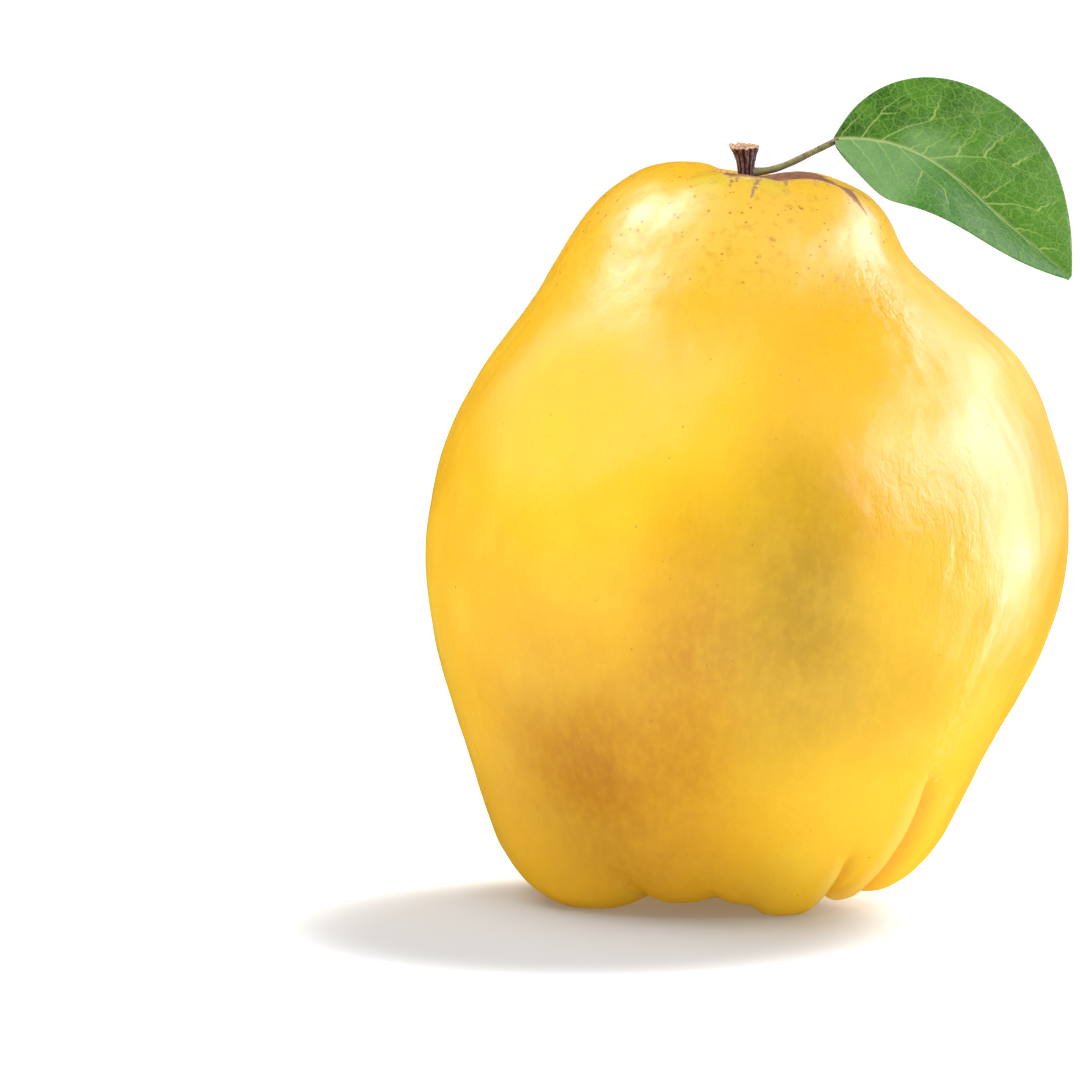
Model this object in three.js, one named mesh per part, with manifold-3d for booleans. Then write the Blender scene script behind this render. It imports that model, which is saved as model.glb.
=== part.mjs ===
// A whole quince, as picked: the lobed yellow fruit standing on the low lobes round its calyx,
// with the woody stub of its stalk in the top basin, one leaf on its own stalk growing from the stub,
// and underneath, in the deep basin between the lobes, the dried calyx with its withered stamens.
//
// Millimetres, +Z up. The origin is on the ground, under the axis from calyx to stem stub. +X is the
// side the leaf hangs over, and the front, -Y, is the side with the broadest low lobe.
import * as THREE from "three";
import { mergeVertices } from "three/addons/utils/BufferGeometryUtils.js";
import Module from "manifold-3d";

const wasm = await Module();
wasm.setup();

// Driving dimensions of the fruit. Every ring is a closed line round the axis, from the stem pit at the
// top to the calyx pit underneath. Its radius and height are given on four sides, in the order right,
// back, left, front, and the skin is a smooth curve drawn down through all the rings.
// lobe pushes the ring out, and drop pulls it down, where a base lobe stands (see baseLobes), and swing
// turns the lobes by that many degrees towards the front; knob pushes the ring out and lifts it where a
// swelling of the top stands (see topLobes).
const fruitRings = [
  { radius: [0, 0, 0, 0], height: [101.6, 101.6, 101.6, 101.6] },
  { radius: [2.4, 2.4, 2.4, 2.4], height: [101.8, 101.8, 101.8, 101.8] },
  { radius: [5.2, 3.9, 3.8, 5.0], height: [103.6, 105.2, 106.8, 103.9], knob: 0.3 },
  { radius: [9.5, 9.9, 8.8, 9.2], height: [104.5, 105.2, 106.4, 105.8], knob: 1.2 },
  { radius: [15.5, 16.2, 14.8, 15.2], height: [102.7, 104.4, 105.7, 105.0], knob: 1.3 },
  { radius: [21.1, 21.8, 21.8, 21.4], height: [100.0, 100.7, 101.2, 99.6], knob: 0.9 },
  { radius: [22.5, 24.4, 27.0, 24.6], height: [93.2, 93.2, 93.8, 92.6], knob: 0.4 },
  { radius: [30.0, 30.2, 31.6, 30.2], height: [87.2, 86.4, 86.4, 85.6] },
  { radius: [39.5, 37.0, 38.0, 36.8], height: [79.8, 78.2, 78.4, 77.6] },
  { radius: [44.8, 42.4, 43.6, 42.4], height: [69.4, 68.8, 68.6, 68.4] },
  { radius: [47.5, 45.2, 47.0, 45.5], height: [57.6, 57.6, 57.4, 57.4] },
  { radius: [46.8, 44.8, 47.2, 45.3], height: [45.4, 45.8, 45.6, 45.6] },
  { radius: [42.3, 42.0, 45.0, 42.6], height: [33.6, 34.0, 33.8, 34.0], lobe: 0.2 },
  { radius: [35.7, 37.2, 41.4, 37.8], height: [23.0, 23.4, 23.0, 23.4], lobe: 0.5 },
  { radius: [31.5, 32.0, 38.2, 32.6], height: [14.2, 14.2, 13.8, 14.2], lobe: 1.0, drop: 0.3, swing: 2 },
  { radius: [26.9, 27.2, 35.4, 27.2], height: [7.2, 6.8, 6.4, 6.8], lobe: 1.7, drop: 1.7, swing: 7 },
  { radius: [20.5, 21.4, 30.0, 21.0], height: [2.9, 2.6, 2.5, 2.6], lobe: 1.0, drop: 4.0, swing: 13 },
  { radius: [14.8, 16.0, 21.4, 15.4], height: [3.2, 3.2, 3.2, 3.2], lobe: -0.6, drop: 3.2, swing: 14 },
  { radius: [12.0, 12.6, 14.4, 12.2], height: [7.8, 7.8, 7.8, 7.8], lobe: -1.2, drop: 1.2, swing: 14 },
  { radius: [9.0, 9.0, 9.4, 9.0], height: [12.2, 12.2, 12.2, 12.2], lobe: -0.4, swing: 14 },
  { radius: [4.4, 4.4, 4.4, 4.4], height: [14.4, 14.4, 14.4, 14.4] },
  { radius: [0, 0, 0, 0], height: [14.6, 14.6, 14.6, 14.6] },
];

// The lobes of the base, broad ones with lesser folds between them, by azimuth in degrees from +X
// towards the back. half is the lobe's half-width, where it runs out in a crease.
const baseLobes = [
  { at: 201, half: 24.5, reach: 1.0 },
  { at: 241.5, half: 17, reach: 0.42 },
  { at: 271, half: 18, reach: 0.42 },
  { at: 291.5, half: 21, reach: 1.05 },
  { at: 312, half: 8.5, reach: 0.52 },
  { at: 341, half: 23, reach: 0.84 },
  { at: 19, half: 15, reach: 0.6 },
  { at: 60, half: 25, reach: 1.0 },
  { at: 100, half: 14, reach: 0.62 },
  { at: 136, half: 24, reach: 1.0 },
  { at: 168, half: 12, reach: 0.56 },
];
const baseCreaseSharpness = 10;
const swingFrom = 340; // the azimuth where the swing is fullest

// The soft swellings round the stem basin.
const topLobes = [
  { at: 186, half: 46, reach: 0.95 },
  { at: 262, half: 34, reach: 0.6 },
  { at: 322, half: 32, reach: 0.9 },
  { at: 38, half: 34, reach: 1.0 },
  { at: 104, half: 38, reach: 0.3 },
];
const topCreaseSharpness = 6;

const fruitSidesRound = 80;
const stepsPerRing = 2;
const groundTrim = 60; // half-width of the block that trims the lobes flat where they stand

// The stem stub: a bent, ribbed, flared woody peg. Height and radius from the root up.
const stubStations = [
  { height: 97.6, radius: 0.95, leanX: 0 },
  { height: 99.0, radius: 1.1, leanX: -0.1 },
  { height: 102.0, radius: 1.12, leanX: -0.2 },
  { height: 104.8, radius: 1.06, leanX: -0.3 },
  { height: 106.6, radius: 1.16, leanX: -0.36 },
  { height: 107.9, radius: 1.38, leanX: -0.42 },
  { height: 108.9, radius: 1.8, leanX: -0.55 },
  { height: 109.6, radius: 2.1, leanX: -0.7 },
];
const stubRibs = 11;
const stubRibHeight = 0.13;
const stubDish = 0.45; // how far the cut end is hollowed
const fitGap = 0.3; // clearance between a piece and its socket

// The leaf stalk, from the foot of the stub to the base of the blade.
const leafStalkPath = [
  [1.3, 0.4, 105.85],
  [3.3, 0.9, 106.0],
  [5.6, 1.7, 106.75],
  [8.6, 2.5, 108.2],
  [12.0, 3.3, 110.1],
];
const leafStalkRadii = [0.62, 0.5]; // at the foot and at the blade
const leafStalkSteps = { along: 12, round: 10 };

// The blade: its midrib, then its two halves. lean is how far a half is turned out of the upright plane
// along the midrib, in degrees, at the base and at the tip: the far half upwards and back, the near half
// downwards and forward, so that the blade is folded along its midrib.
const midribPath = [
  [12.4, 3.4, 110.4],
  [16.2, 3.8, 110.6],
  [20.6, 4.0, 110.0],
  [25.2, 3.9, 108.3],
  [29.8, 3.5, 105.3],
  [34.4, 2.8, 101.4],
  [38.9, 1.8, 97.3],
  [43.3, 0.7, 93.6],
  [47.1, -0.6, 90.3],
];
const farHalf = { width: 15.0, lean: [24, 30], fullest: 0.515, fullness: 0.95, wave: 0.6 };
const nearHalf = { width: 13.0, lean: [46, 64], fullest: 0.42, fullness: 0.8, wave: 2.2 };
const bladeThickness = 0.6;
const bladeArch = 0.6; // how far each half bulges between midrib and margin
const marginWave = 0.5;
const midribDepth = 0.55;
const midribWidth = 0.75;
const bladeSteps = { along: 26, across: 6 };
const bladeEnds = [0.012, 0.992]; // the shares of the midrib where the blade begins and ends

// The calyx: a short cup with five toothed sepals that spread into the basin.
const calyxCup = { inner: 2.5, outer: 3.7, low: 12.4, high: 16.6 };
const sepalCount = 5;
const sepalTurn = 24;
const sepalPath = [
  [3.0, 13.3],
  [5.2, 12.2],
  [7.4, 10.4],
  [9.2, 7.9],
  [10.2, 5.2],
];
const sepal = { halfWidth: 2.5, thickness: 0.6, teeth: 6, toothDepth: 0.16, trough: 0.7 };
const sepalSteps = { along: 12, across: 2 };

// The withered stamens: threads hanging out of the cup from a disc at its top.
const stamenDisc = { radius: 3.5, low: 17.0, high: 19.2 };
const stamenCount = 15;
const stamenRadii = [0.28, 0.22];
const stamenSpread = 1.75;
const stamenSteps = { along: 4, round: 5 };

const degree = Math.PI / 180;
const backward = new THREE.Vector3(0, 1, 0);

// A uniform cubic B-spline through a list of rows, each an array of numbers, at a place in 0..rows-1.
// before and after stand in for the rows past either end.
function splineAt(rows, place, before, after) {
  const span = Math.max(0, Math.min(Math.floor(place), rows.length - 2));
  const t = place - span;
  const weights = [
    (1 - t) ** 3 / 6,
    (3 * t ** 3 - 6 * t ** 2 + 4) / 6,
    (-3 * t ** 3 + 3 * t ** 2 + 3 * t + 1) / 6,
    t ** 3 / 6,
  ];
  const near = [rows[span - 1] ?? before, rows[span], rows[span + 1], rows[span + 2] ?? after];
  return rows[0].map((_, k) => near.reduce((sum, row, i) => sum + weights[i] * row[k], 0));
}

// A point at a share of the way along a path, on a smooth curve from its first point to its last.
function curveAt(path, share) {
  const past = (end, inner) => end.map((v, k) => 2 * v - inner[k]);
  const before = past(path[0], path[1]);
  const after = past(path.at(-1), path.at(-2));
  return splineAt(path, share * (path.length - 1), before, after);
}

// The direction of that curve, as a unit vector.
function directionAt(path, share) {
  const ahead = new THREE.Vector3(...curveAt(path, share + 0.001));
  return ahead.sub(new THREE.Vector3(...curveAt(path, share - 0.001))).normalize();
}

// A value known on the right, back, left and front, carried smoothly round the fruit.
function roundSides([right, back, left, front], azimuth) {
  const mean = (right + back + left + front) / 4;
  return (
    mean +
    ((right - left) / 2) * Math.cos(azimuth) +
    ((back - front) / 2) * Math.sin(azimuth) +
    ((right + left - back - front) / 4) * Math.cos(2 * azimuth)
  );
}

// How far the lobes stand out at an azimuth: each lobe is a parabola across its width, and a smooth
// maximum joins them, so that they are round on top with narrow creases between.
function lobeRelief(lobes, azimuth, sharpness) {
  let sum = 0;
  for (const lobe of lobes) {
    const turn = azimuth / degree - lobe.at;
    const away = turn - 360 * Math.round(turn / 360);
    sum += Math.exp(sharpness * lobe.reach * (1 - (away / lobe.half) ** 2));
  }
  return Math.log(sum) / sharpness;
}

// The fruit's skin at an azimuth in radians and a place down the rings, as a point in space.
function fruitPoint(azimuth, place) {
  const top = lobeRelief(topLobes, azimuth, topCreaseSharpness);
  const towards = degree * Math.cos(azimuth - swingFrom * degree);
  const rows = fruitRings.map(({ radius, height, lobe = 0, drop = 0, swing = 0, knob = 0 }) => {
    const base = lobeRelief(baseLobes, azimuth + swing * towards, baseCreaseSharpness);
    return [
      roundSides(radius, azimuth) + lobe * base + 0.5 * knob * top,
      roundSides(height, azimuth) - drop * base + knob * top,
    ];
  });
  const mirror = ([radius, height]) => [-radius, height];
  const [radius, height] = splineAt(rows, place, mirror(rows[1]), mirror(rows.at(-2)));
  return [radius * Math.cos(azimuth), radius * Math.sin(azimuth), height];
}

// A closed surface from rows of points, each row a closed line that runs anticlockwise seen from the
// last row, run together to a point at both ends.
function closedRows(rows, first, last) {
  const sides = rows[0].length;
  const points = [first, ...rows.flat(), last];
  const faces = [];
  for (let i = 0; i < sides; i++) {
    const next = (i + 1) % sides;
    faces.push(0, 1 + next, 1 + i);
    for (let j = 0; j + 1 < rows.length; j++) {
      const a = 1 + j * sides;
      const b = a + sides;
      faces.push(a + i, a + next, b + next, a + i, b + next, b + i);
    }
    const end = 1 + (rows.length - 1) * sides;
    faces.push(end + i, end + next, points.length - 1);
  }
  return shell(points, faces);
}

// A thin closed sheet from two grids of points, its upper and its lower face. The upper one is on the
// side that a row's direction crossed with a line's points to. Both are split into triangles along the
// same diagonal, and a strip closes them round the edge.
function closedSheet(upper, lower) {
  const rows = upper.length;
  const columns = upper[0].length;
  const points = [...upper.flat(), ...lower.flat()];
  const below = rows * columns;
  const at = (j, i) => j * columns + i;
  const faces = [];
  for (let j = 0; j + 1 < rows; j++)
    for (let i = 0; i + 1 < columns; i++) {
      const [a, b, c, d] = [at(j, i), at(j, i + 1), at(j + 1, i + 1), at(j + 1, i)];
      faces.push(a, c, b, a, d, c);
      faces.push(below + a, below + b, below + c, below + a, below + c, below + d);
    }
  const edge = [];
  for (let i = 0; i < columns; i++) edge.push(at(0, i));
  for (let j = 1; j < rows; j++) edge.push(at(j, columns - 1));
  for (let i = columns - 2; i >= 0; i--) edge.push(at(rows - 1, i));
  for (let j = rows - 2; j > 0; j--) edge.push(at(j, 0));
  edge.forEach((a, k) => {
    const b = edge[(k + 1) % edge.length];
    faces.push(a, below + b, below + a, a, b, below + b);
  });
  return shell(points, faces);
}

function shell(points, faces) {
  return new THREE.BufferGeometry()
    .setAttribute("position", new THREE.Float32BufferAttribute(points.flat(), 3))
    .setIndex(faces);
}

function toSolid(geometry) {
  const bare = geometry.clone();
  bare.deleteAttribute("normal");
  bare.deleteAttribute("uv");
  const merged = mergeVertices(bare, 1e-4);
  const made = new wasm.Manifold(
    new wasm.Mesh({
      numProp: 3,
      vertProperties: merged.attributes.position.array,
      triVerts: new Uint32Array(merged.index.array),
    }),
  );
  return made;
}

function toGeometry(solid) {
  const { vertProperties, triVerts } = solid.getMesh();
  const geometry = new THREE.BufferGeometry()
    .setAttribute("position", new THREE.BufferAttribute(new Float32Array(vertProperties), 3))
    .setIndex(new THREE.BufferAttribute(new Uint32Array(triVerts), 1));
  geometry.computeVertexNormals();
  return geometry;
}

// The ribbed peg of the stub, closed at the root and hollowed at the cut end. Its socket is the same
// peg, grown by a gap, with a plain end.
function stubGeometry(grow) {
  const sides = 4 * stubRibs;
  const ring = ({ radius, leanX }, height) =>
    Array.from({ length: sides }, (_, i) => {
      const angle = (i / sides) * 2 * Math.PI;
      const reach = radius + grow + stubRibHeight * Math.cos(stubRibs * angle);
      return [leanX + reach * Math.cos(angle), reach * Math.sin(angle), height];
    });
  const root = stubStations[0];
  const top = stubStations.at(-1);
  const rows = stubStations.map((station) => ring(station, station.height));
  rows[0] = ring(root, root.height - grow);
  if (!grow) rows.push(ring({ ...top, radius: 0.78 * top.radius }, top.height - 0.1));
  const dish = grow ? 0 : stubDish;
  return closedRows(rows, [root.leanX, 0, root.height - grow], [top.leanX, 0, top.height - dish]);
}

// A round thread or stalk along a curve, narrowing from one radius to another, with flat ends.
function threadGeometry(path, [startRadius, endRadius], { along, round }) {
  const rows = [];
  for (let j = 0; j <= along; j++) {
    const tangent = directionAt(path, j / along);
    const right = new THREE.Vector3().crossVectors(tangent, backward).normalize();
    const up = new THREE.Vector3().crossVectors(tangent, right);
    const radius = THREE.MathUtils.lerp(startRadius, endRadius, j / along);
    rows.push(
      Array.from({ length: round }, (_, i) => {
        const angle = (i / round) * 2 * Math.PI;
        return new THREE.Vector3(...curveAt(path, j / along))
          .addScaledVector(right, radius * Math.cos(angle))
          .addScaledVector(up, radius * Math.sin(angle))
          .toArray();
      }),
    );
  }
  return closedRows(rows, path[0], path.at(-1));
}

// The width of a half blade as a share of its fullest, from base to tip.
function bladeOutline(along, { fullest, fullness }) {
  const bent = along ** (Math.log(0.5) / Math.log(fullest));
  return Math.sin(Math.PI * bent) ** fullness;
}

// The blade's upper face, and the direction it faces, at a share along the midrib and a share across a
// half, positive on the far half: out from the midrib at the half's lean, with an arch between midrib
// and margin and a slow wave along the margin.
function bladePoint(along, across) {
  const sign = across < 0 ? -1 : 1;
  const half = across < 0 ? nearHalf : farHalf;
  const share = bladeOutline(along, half);
  const tangent = directionAt(midribPath, along);
  const up = new THREE.Vector3().crossVectors(tangent, backward).normalize();
  const back = new THREE.Vector3().crossVectors(up, tangent);
  const lean = degree * (half.lean[1] + (half.lean[0] - half.lean[1]) * (1 - along) ** 2.2);
  const spread = up.multiplyScalar(sign * Math.cos(lean)).addScaledVector(back, sign * Math.sin(lean));
  const face = new THREE.Vector3().crossVectors(tangent, spread).multiplyScalar(sign);
  const arch = bladeArch * Math.sin(Math.PI * Math.abs(across));
  const wave = marginWave * across ** 2 * Math.sin(9 * along + half.wave);
  const point = new THREE.Vector3(...curveAt(midribPath, along))
    .addScaledVector(spread, Math.abs(across) * half.width * share)
    .addScaledVector(face, (arch + wave) * share);
  return { point, face };
}

// The whole blade: the lower face lies under the upper one, deeper along the midrib.
function bladeGeometry() {
  const { along, across } = bladeSteps;
  const [from, to] = bladeEnds;
  const upper = [];
  const lower = [];
  for (let j = 0; j <= along; j++) {
    const s = from + ((to - from) * j) / along;
    const ribSide = bladePoint(s, -0.001).face.add(bladePoint(s, 0).face).normalize();
    const line = [];
    const under = [];
    for (let i = -across; i <= across; i++) {
      const t = Math.sign(i) * Math.abs(i / across) ** 1.3;
      const { point, face } = bladePoint(s, t);
      const distance = Math.abs(t) * farHalf.width;
      const rib = midribDepth * Math.exp(-((distance / midribWidth) ** 2)) * (1 - 0.7 * s);
      const down = i === 0 ? ribSide : face;
      line.push(point.toArray());
      under.push(point.clone().addScaledVector(down, -bladeThickness - rib).toArray());
    }
    upper.push(line);
    lower.push(under);
  }
  return closedSheet(upper, lower);
}

// One sepal, hanging out along sepalPath in the plane y = 0: a trough, widest near its foot, with a
// toothed edge and a pointed tip.
function sepalGeometry() {
  const path = sepalPath.map(([x, z]) => [x, 0, z]);
  const { along, across } = sepalSteps;
  const upper = [];
  const lower = [];
  for (let j = 0; j <= along; j++) {
    const s = j / along;
    const centre = new THREE.Vector3(...curveAt(path, s));
    const under = new THREE.Vector3().crossVectors(directionAt(path, s), backward).negate();
    const tooth = 1 - sepal.toothDepth * (1 - ((s * sepal.teeth) % 1));
    const taper = Math.sin(Math.PI * (0.22 + 0.78 * s) ** 0.75) ** 0.9;
    const halfWidth = 0.18 + sepal.halfWidth * Math.max(0, taper) * (s > 0.15 && s < 0.95 ? tooth : 1);
    const line = [];
    const below = [];
    for (let i = -across; i <= across; i++) {
      const t = i / across;
      const sag = sepal.trough * t * t * (halfWidth / sepal.halfWidth);
      const point = centre.clone().addScaledVector(under, sag);
      point.y = t * halfWidth;
      line.push(point.toArray());
      below.push(point.clone().addScaledVector(under, sepal.thickness).toArray());
    }
    upper.push(line);
    lower.push(below);
  }
  return closedSheet(upper, lower);
}

// A turned ring or disc about the axis.
function turned(outline, sides) {
  const points = outline.map(([radius, height]) => new THREE.Vector2(radius, height));
  return new THREE.LatheGeometry(points, sides).rotateX(Math.PI / 2);
}

function fruitSolid() {
  const count = (fruitRings.length - 1) * stepsPerRing;
  const rows = [];
  for (let j = count - 1; j > 0; j--)
    rows.push(
      Array.from({ length: fruitSidesRound }, (_, i) =>
        fruitPoint((i / fruitSidesRound) * 2 * Math.PI, j / stepsPerRing),
      ),
    );
  const skin = toSolid(closedRows(rows, fruitPoint(0, fruitRings.length - 1), fruitPoint(0, 0)));
  const { outer } = calyxCup;
  const socketTop = stamenDisc.high + fitGap;
  const socket = [
    [0, 8],
    [outer + fitGap, 8],
    [outer + fitGap, socketTop],
    [0, socketTop],
  ];
  const ground = new THREE.BoxGeometry(2 * groundTrim, 2 * groundTrim, groundTrim);
  return skin
    .subtract(toSolid(stubGeometry(fitGap)))
    .subtract(toSolid(turned(socket, 30)))
    .subtract(toSolid(ground.translate(0, 0, -groundTrim / 2)));
}

function calyxSolid() {
  const { inner, outer, low, high } = calyxCup;
  const ring = [
    [inner, low],
    [outer, low],
    [outer, high],
    [inner, high],
    [inner, low],
  ];
  let cup = toSolid(turned(ring, 24));
  for (let k = 0; k < sepalCount; k++) {
    const leaf = sepalGeometry().rotateZ((sepalTurn + (360 / sepalCount) * k) * degree);
    cup = cup.add(toSolid(leaf));
  }
  return cup;
}

// A repeatable random number from 0 to 1.
function seeded(seed) {
  let state = seed;
  return () => {
    state = (state * 16807) % 2147483647;
    return state / 2147483647;
  };
}

function stamenSolid() {
  const random = seeded(41);
  const { radius, low, high } = stamenDisc;
  const outline = [
    [0, low],
    [radius, low],
    [radius, high],
    [0, high],
  ];
  let tuft = toSolid(turned(outline, 20));
  for (let k = 0; k < stamenCount; k++) {
    const angle = k * 137.5 * degree;
    const rootRadius = stamenSpread * Math.sqrt((k + 0.5) / stamenCount);
    const length = 5.6 + 2.6 * random();
    const bend = 0.5 * (random() - 0.5);
    const lean = 0.1 + 0.75 * (rootRadius / stamenSpread) * random();
    const along = (share, out) => [
      (rootRadius + out) * Math.cos(angle + bend * share),
      (rootRadius + out) * Math.sin(angle + bend * share),
      low + 0.6 - length * share,
    ];
    const path = [along(0, 0), along(0.35, 0), along(0.7, lean * 0.5), along(1, lean * 2.2)];
    tuft = tuft.add(toSolid(threadGeometry(path, stamenRadii, stamenSteps)));
  }
  return tuft;
}

function finish(colour, roughness) {
  return new THREE.MeshStandardMaterial({ color: colour, roughness, metalness: 0 });
}

function named(name, geometry, material) {
  const mesh = new THREE.Mesh(geometry, material);
  mesh.name = name;
  return mesh;
}

const quince = new THREE.Group();
quince.add(
  named("fruit", toGeometry(fruitSolid()), finish(0xf2bb2e, 0.38)),
  named("stem_stub", stubGeometry(0), finish(0x5a3830, 0.85)),
  named("leaf_stalk", threadGeometry(leafStalkPath, leafStalkRadii, leafStalkSteps), finish(0x6d7a3c, 0.6)),
  named("leaf_blade", bladeGeometry(), finish(0x3f8a34, 0.5)),
  named("calyx_sepals", toGeometry(calyxSolid()), finish(0x66753c, 0.8)),
  named("dried_stamens", toGeometry(stamenSolid()), finish(0x2f241e, 0.9)),
);

export default quince;
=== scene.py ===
import math

import bpy
import numpy as np
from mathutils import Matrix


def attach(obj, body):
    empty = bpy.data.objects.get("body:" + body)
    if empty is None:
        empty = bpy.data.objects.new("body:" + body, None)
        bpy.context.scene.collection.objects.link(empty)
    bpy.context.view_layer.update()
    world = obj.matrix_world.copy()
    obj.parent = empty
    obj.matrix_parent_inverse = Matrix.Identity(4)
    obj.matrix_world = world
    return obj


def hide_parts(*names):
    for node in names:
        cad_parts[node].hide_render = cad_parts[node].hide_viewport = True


# A ripe quince with its stem stub, one leaf on its stalk, and the dried calyx in the hollow underneath.
# Shapes are worked out in millimetres, +Z up, with the origin on the ground under the fruit's axis.

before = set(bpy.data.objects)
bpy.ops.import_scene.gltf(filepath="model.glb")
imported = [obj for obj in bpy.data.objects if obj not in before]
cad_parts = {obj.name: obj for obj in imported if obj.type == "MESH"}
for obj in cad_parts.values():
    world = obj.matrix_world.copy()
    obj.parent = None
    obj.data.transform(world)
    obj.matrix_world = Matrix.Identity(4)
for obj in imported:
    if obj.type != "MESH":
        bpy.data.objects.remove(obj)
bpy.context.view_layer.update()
print("frame loaded:", ", ".join(sorted(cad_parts)))

millimetre = 0.001
degree = math.pi / 180
scene = bpy.context.scene

# The camera looks level but for a few degrees, from far off. Lengths in millimetres, angles in degrees.
view = {"aim": (-30.3, 0, 51.9), "distance": 900, "elevation": 7, "lens": 204.8, "sensor": 36}


# The camera stands back from the point that it aims at, along a line that rises by the elevation.
def placeCamera():
    lens = bpy.data.cameras.new("camera")
    lens.lens, lens.sensor_width = view["lens"], view["sensor"]
    lens.clip_start, lens.clip_end = 0.05, 60
    holder = bpy.data.objects.new("camera", lens)
    scene.collection.objects.link(holder)
    rise = view["elevation"] * degree
    back = np.array([0, -math.cos(rise), math.sin(rise)])
    holder.location = (np.array(view["aim"]) + view["distance"] * back) * millimetre
    holder.rotation_euler = (math.pi / 2 - rise, 0, 0)
    scene.camera = holder
    print("camera placed", view["distance"], "mm from the axis")


placeCamera()


# Each vector divided by its length.
def unit(vectors):
    return vectors / (np.linalg.norm(vectors, axis=-1, keepdims=True) + 1e-12)


# 0 up to low, 1 from high on, and 3 s^2 - 2 s^3 between them, with s the share of the way.
def smooth(values, low, high):
    share = np.clip((values - low) / (high - low), 0, 1)
    return share * share * (3 - 2 * share)


# A smooth line through rows of numbers, at places counted in rows: the four nearest rows, weighted by
# the uniform cubic B-spline. before and after stand in for the rows past the ends.
def splineRows(rows, places, before, after):
    table = np.concatenate([[before], rows, [after]])
    span = np.clip(np.floor(places).astype(int), 0, len(rows) - 2)
    t = (places - span).reshape(places.shape + (1,) * (table.ndim - 1))
    weights = [(1 - t) ** 3, 3 * t ** 3 - 6 * t ** 2 + 4, -3 * t ** 3 + 3 * t ** 2 + 3 * t + 1, t ** 3]
    return sum(weight / 6 * table[span + i] for i, weight in enumerate(weights))


# A point at a share of the way along a path, on a curve from its first point to its last.
def pathAt(path, share):
    path = np.array(path, float)
    return splineRows(path, share * (len(path) - 1), 2 * path[0] - path[1], 2 * path[-1] - path[-2])


# The direction of the path there: the difference of two points close together, made a unit vector.
def pathDirection(path, share):
    return unit(pathAt(path, share + 0.001) - pathAt(path, share - 0.001))


# Unevenness from about -1 to 1: a sum of cosine waves in random directions, all near one wavelength.
def unevenness(points, wavelength, seed, stretch=(1, 1, 1), waves=24):
    random = np.random.default_rng(seed)
    ways = unit(random.normal(size=(waves, 3)))
    rates = 2 * math.pi / wavelength * random.uniform(0.7, 1.4, waves)
    phases = random.uniform(0, 2 * math.pi, waves)
    total = np.zeros(points.shape[:-1])
    for way, rate, phase in zip(ways, rates, phases):
        total += np.cos((points * stretch) @ (way * rate) + phase)
    return total / math.sqrt(waves)


# The quads of a grid of points, row after row. wrapped joins each row's end to its start.
def gridFaces(rows, columns, wrapped, start=0):
    j, i = np.meshgrid(np.arange(rows - 1), np.arange(columns - (not wrapped)), indexing="ij")
    ahead = (i + 1) % columns
    corners = [j * columns + i, j * columns + ahead, (j + 1) * columns + ahead, (j + 1) * columns + i]
    return np.stack(corners, -1).reshape(-1, 4) + start


# A closed body from a grid whose rows run round it: fans close both ends on a middle point.
def roundBody(grid, first, last):
    rows, columns = grid.shape[:2]
    points = np.concatenate([grid.reshape(-1, 3), [first, last]])
    i = np.arange(columns)
    ahead = (i + 1) % columns
    end = (rows - 1) * columns
    top = np.stack([np.full(columns, rows * columns), ahead, i], -1)
    foot = np.stack([np.full(columns, rows * columns + 1), end + i, end + ahead], -1)
    return points, [gridFaces(rows, columns, True), top, foot]


# A closed sheet from its upper and its lower grid, with a strip of quads round the edge.
def sheetBody(upper, lower):
    rows, columns = upper.shape[:2]
    count = rows * columns
    points = np.concatenate([upper.reshape(-1, 3), lower.reshape(-1, 3)])
    index = np.arange(count).reshape(rows, columns)
    edge = np.concatenate([index[0, :-1], index[:-1, -1], index[-1, :0:-1], index[:0:-1, 0]])
    ahead = np.roll(edge, -1)
    strip = np.stack([edge, edge + count, ahead + count, ahead], -1)
    return points, [gridFaces(rows, columns, False), gridFaces(rows, columns, False, count)[:, ::-1], strip]


# Turns all the faces round if they enclose a negative volume, so that they point outwards.
def outward(points, faces):
    volume = 0
    for group in faces:
        for k in range(1, group.shape[1] - 1):
            a, b, c = points[group[:, 0]], points[group[:, k]], points[group[:, k + 1]]
            volume += np.einsum("ij,ij->", a, np.cross(b, c))
    return faces if volume > 0 else [group[:, ::-1] for group in faces]


# Several closed bodies in one, each turned outwards, their faces renumbered in turn.
def together(bodies):
    points, faces, start = [], [], 0
    for bodyPoints, bodyFaces in bodies:
        points.append(bodyPoints)
        faces += [group + start for group in outward(bodyPoints, bodyFaces)]
        start += len(bodyPoints)
    return np.concatenate(points), faces


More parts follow.
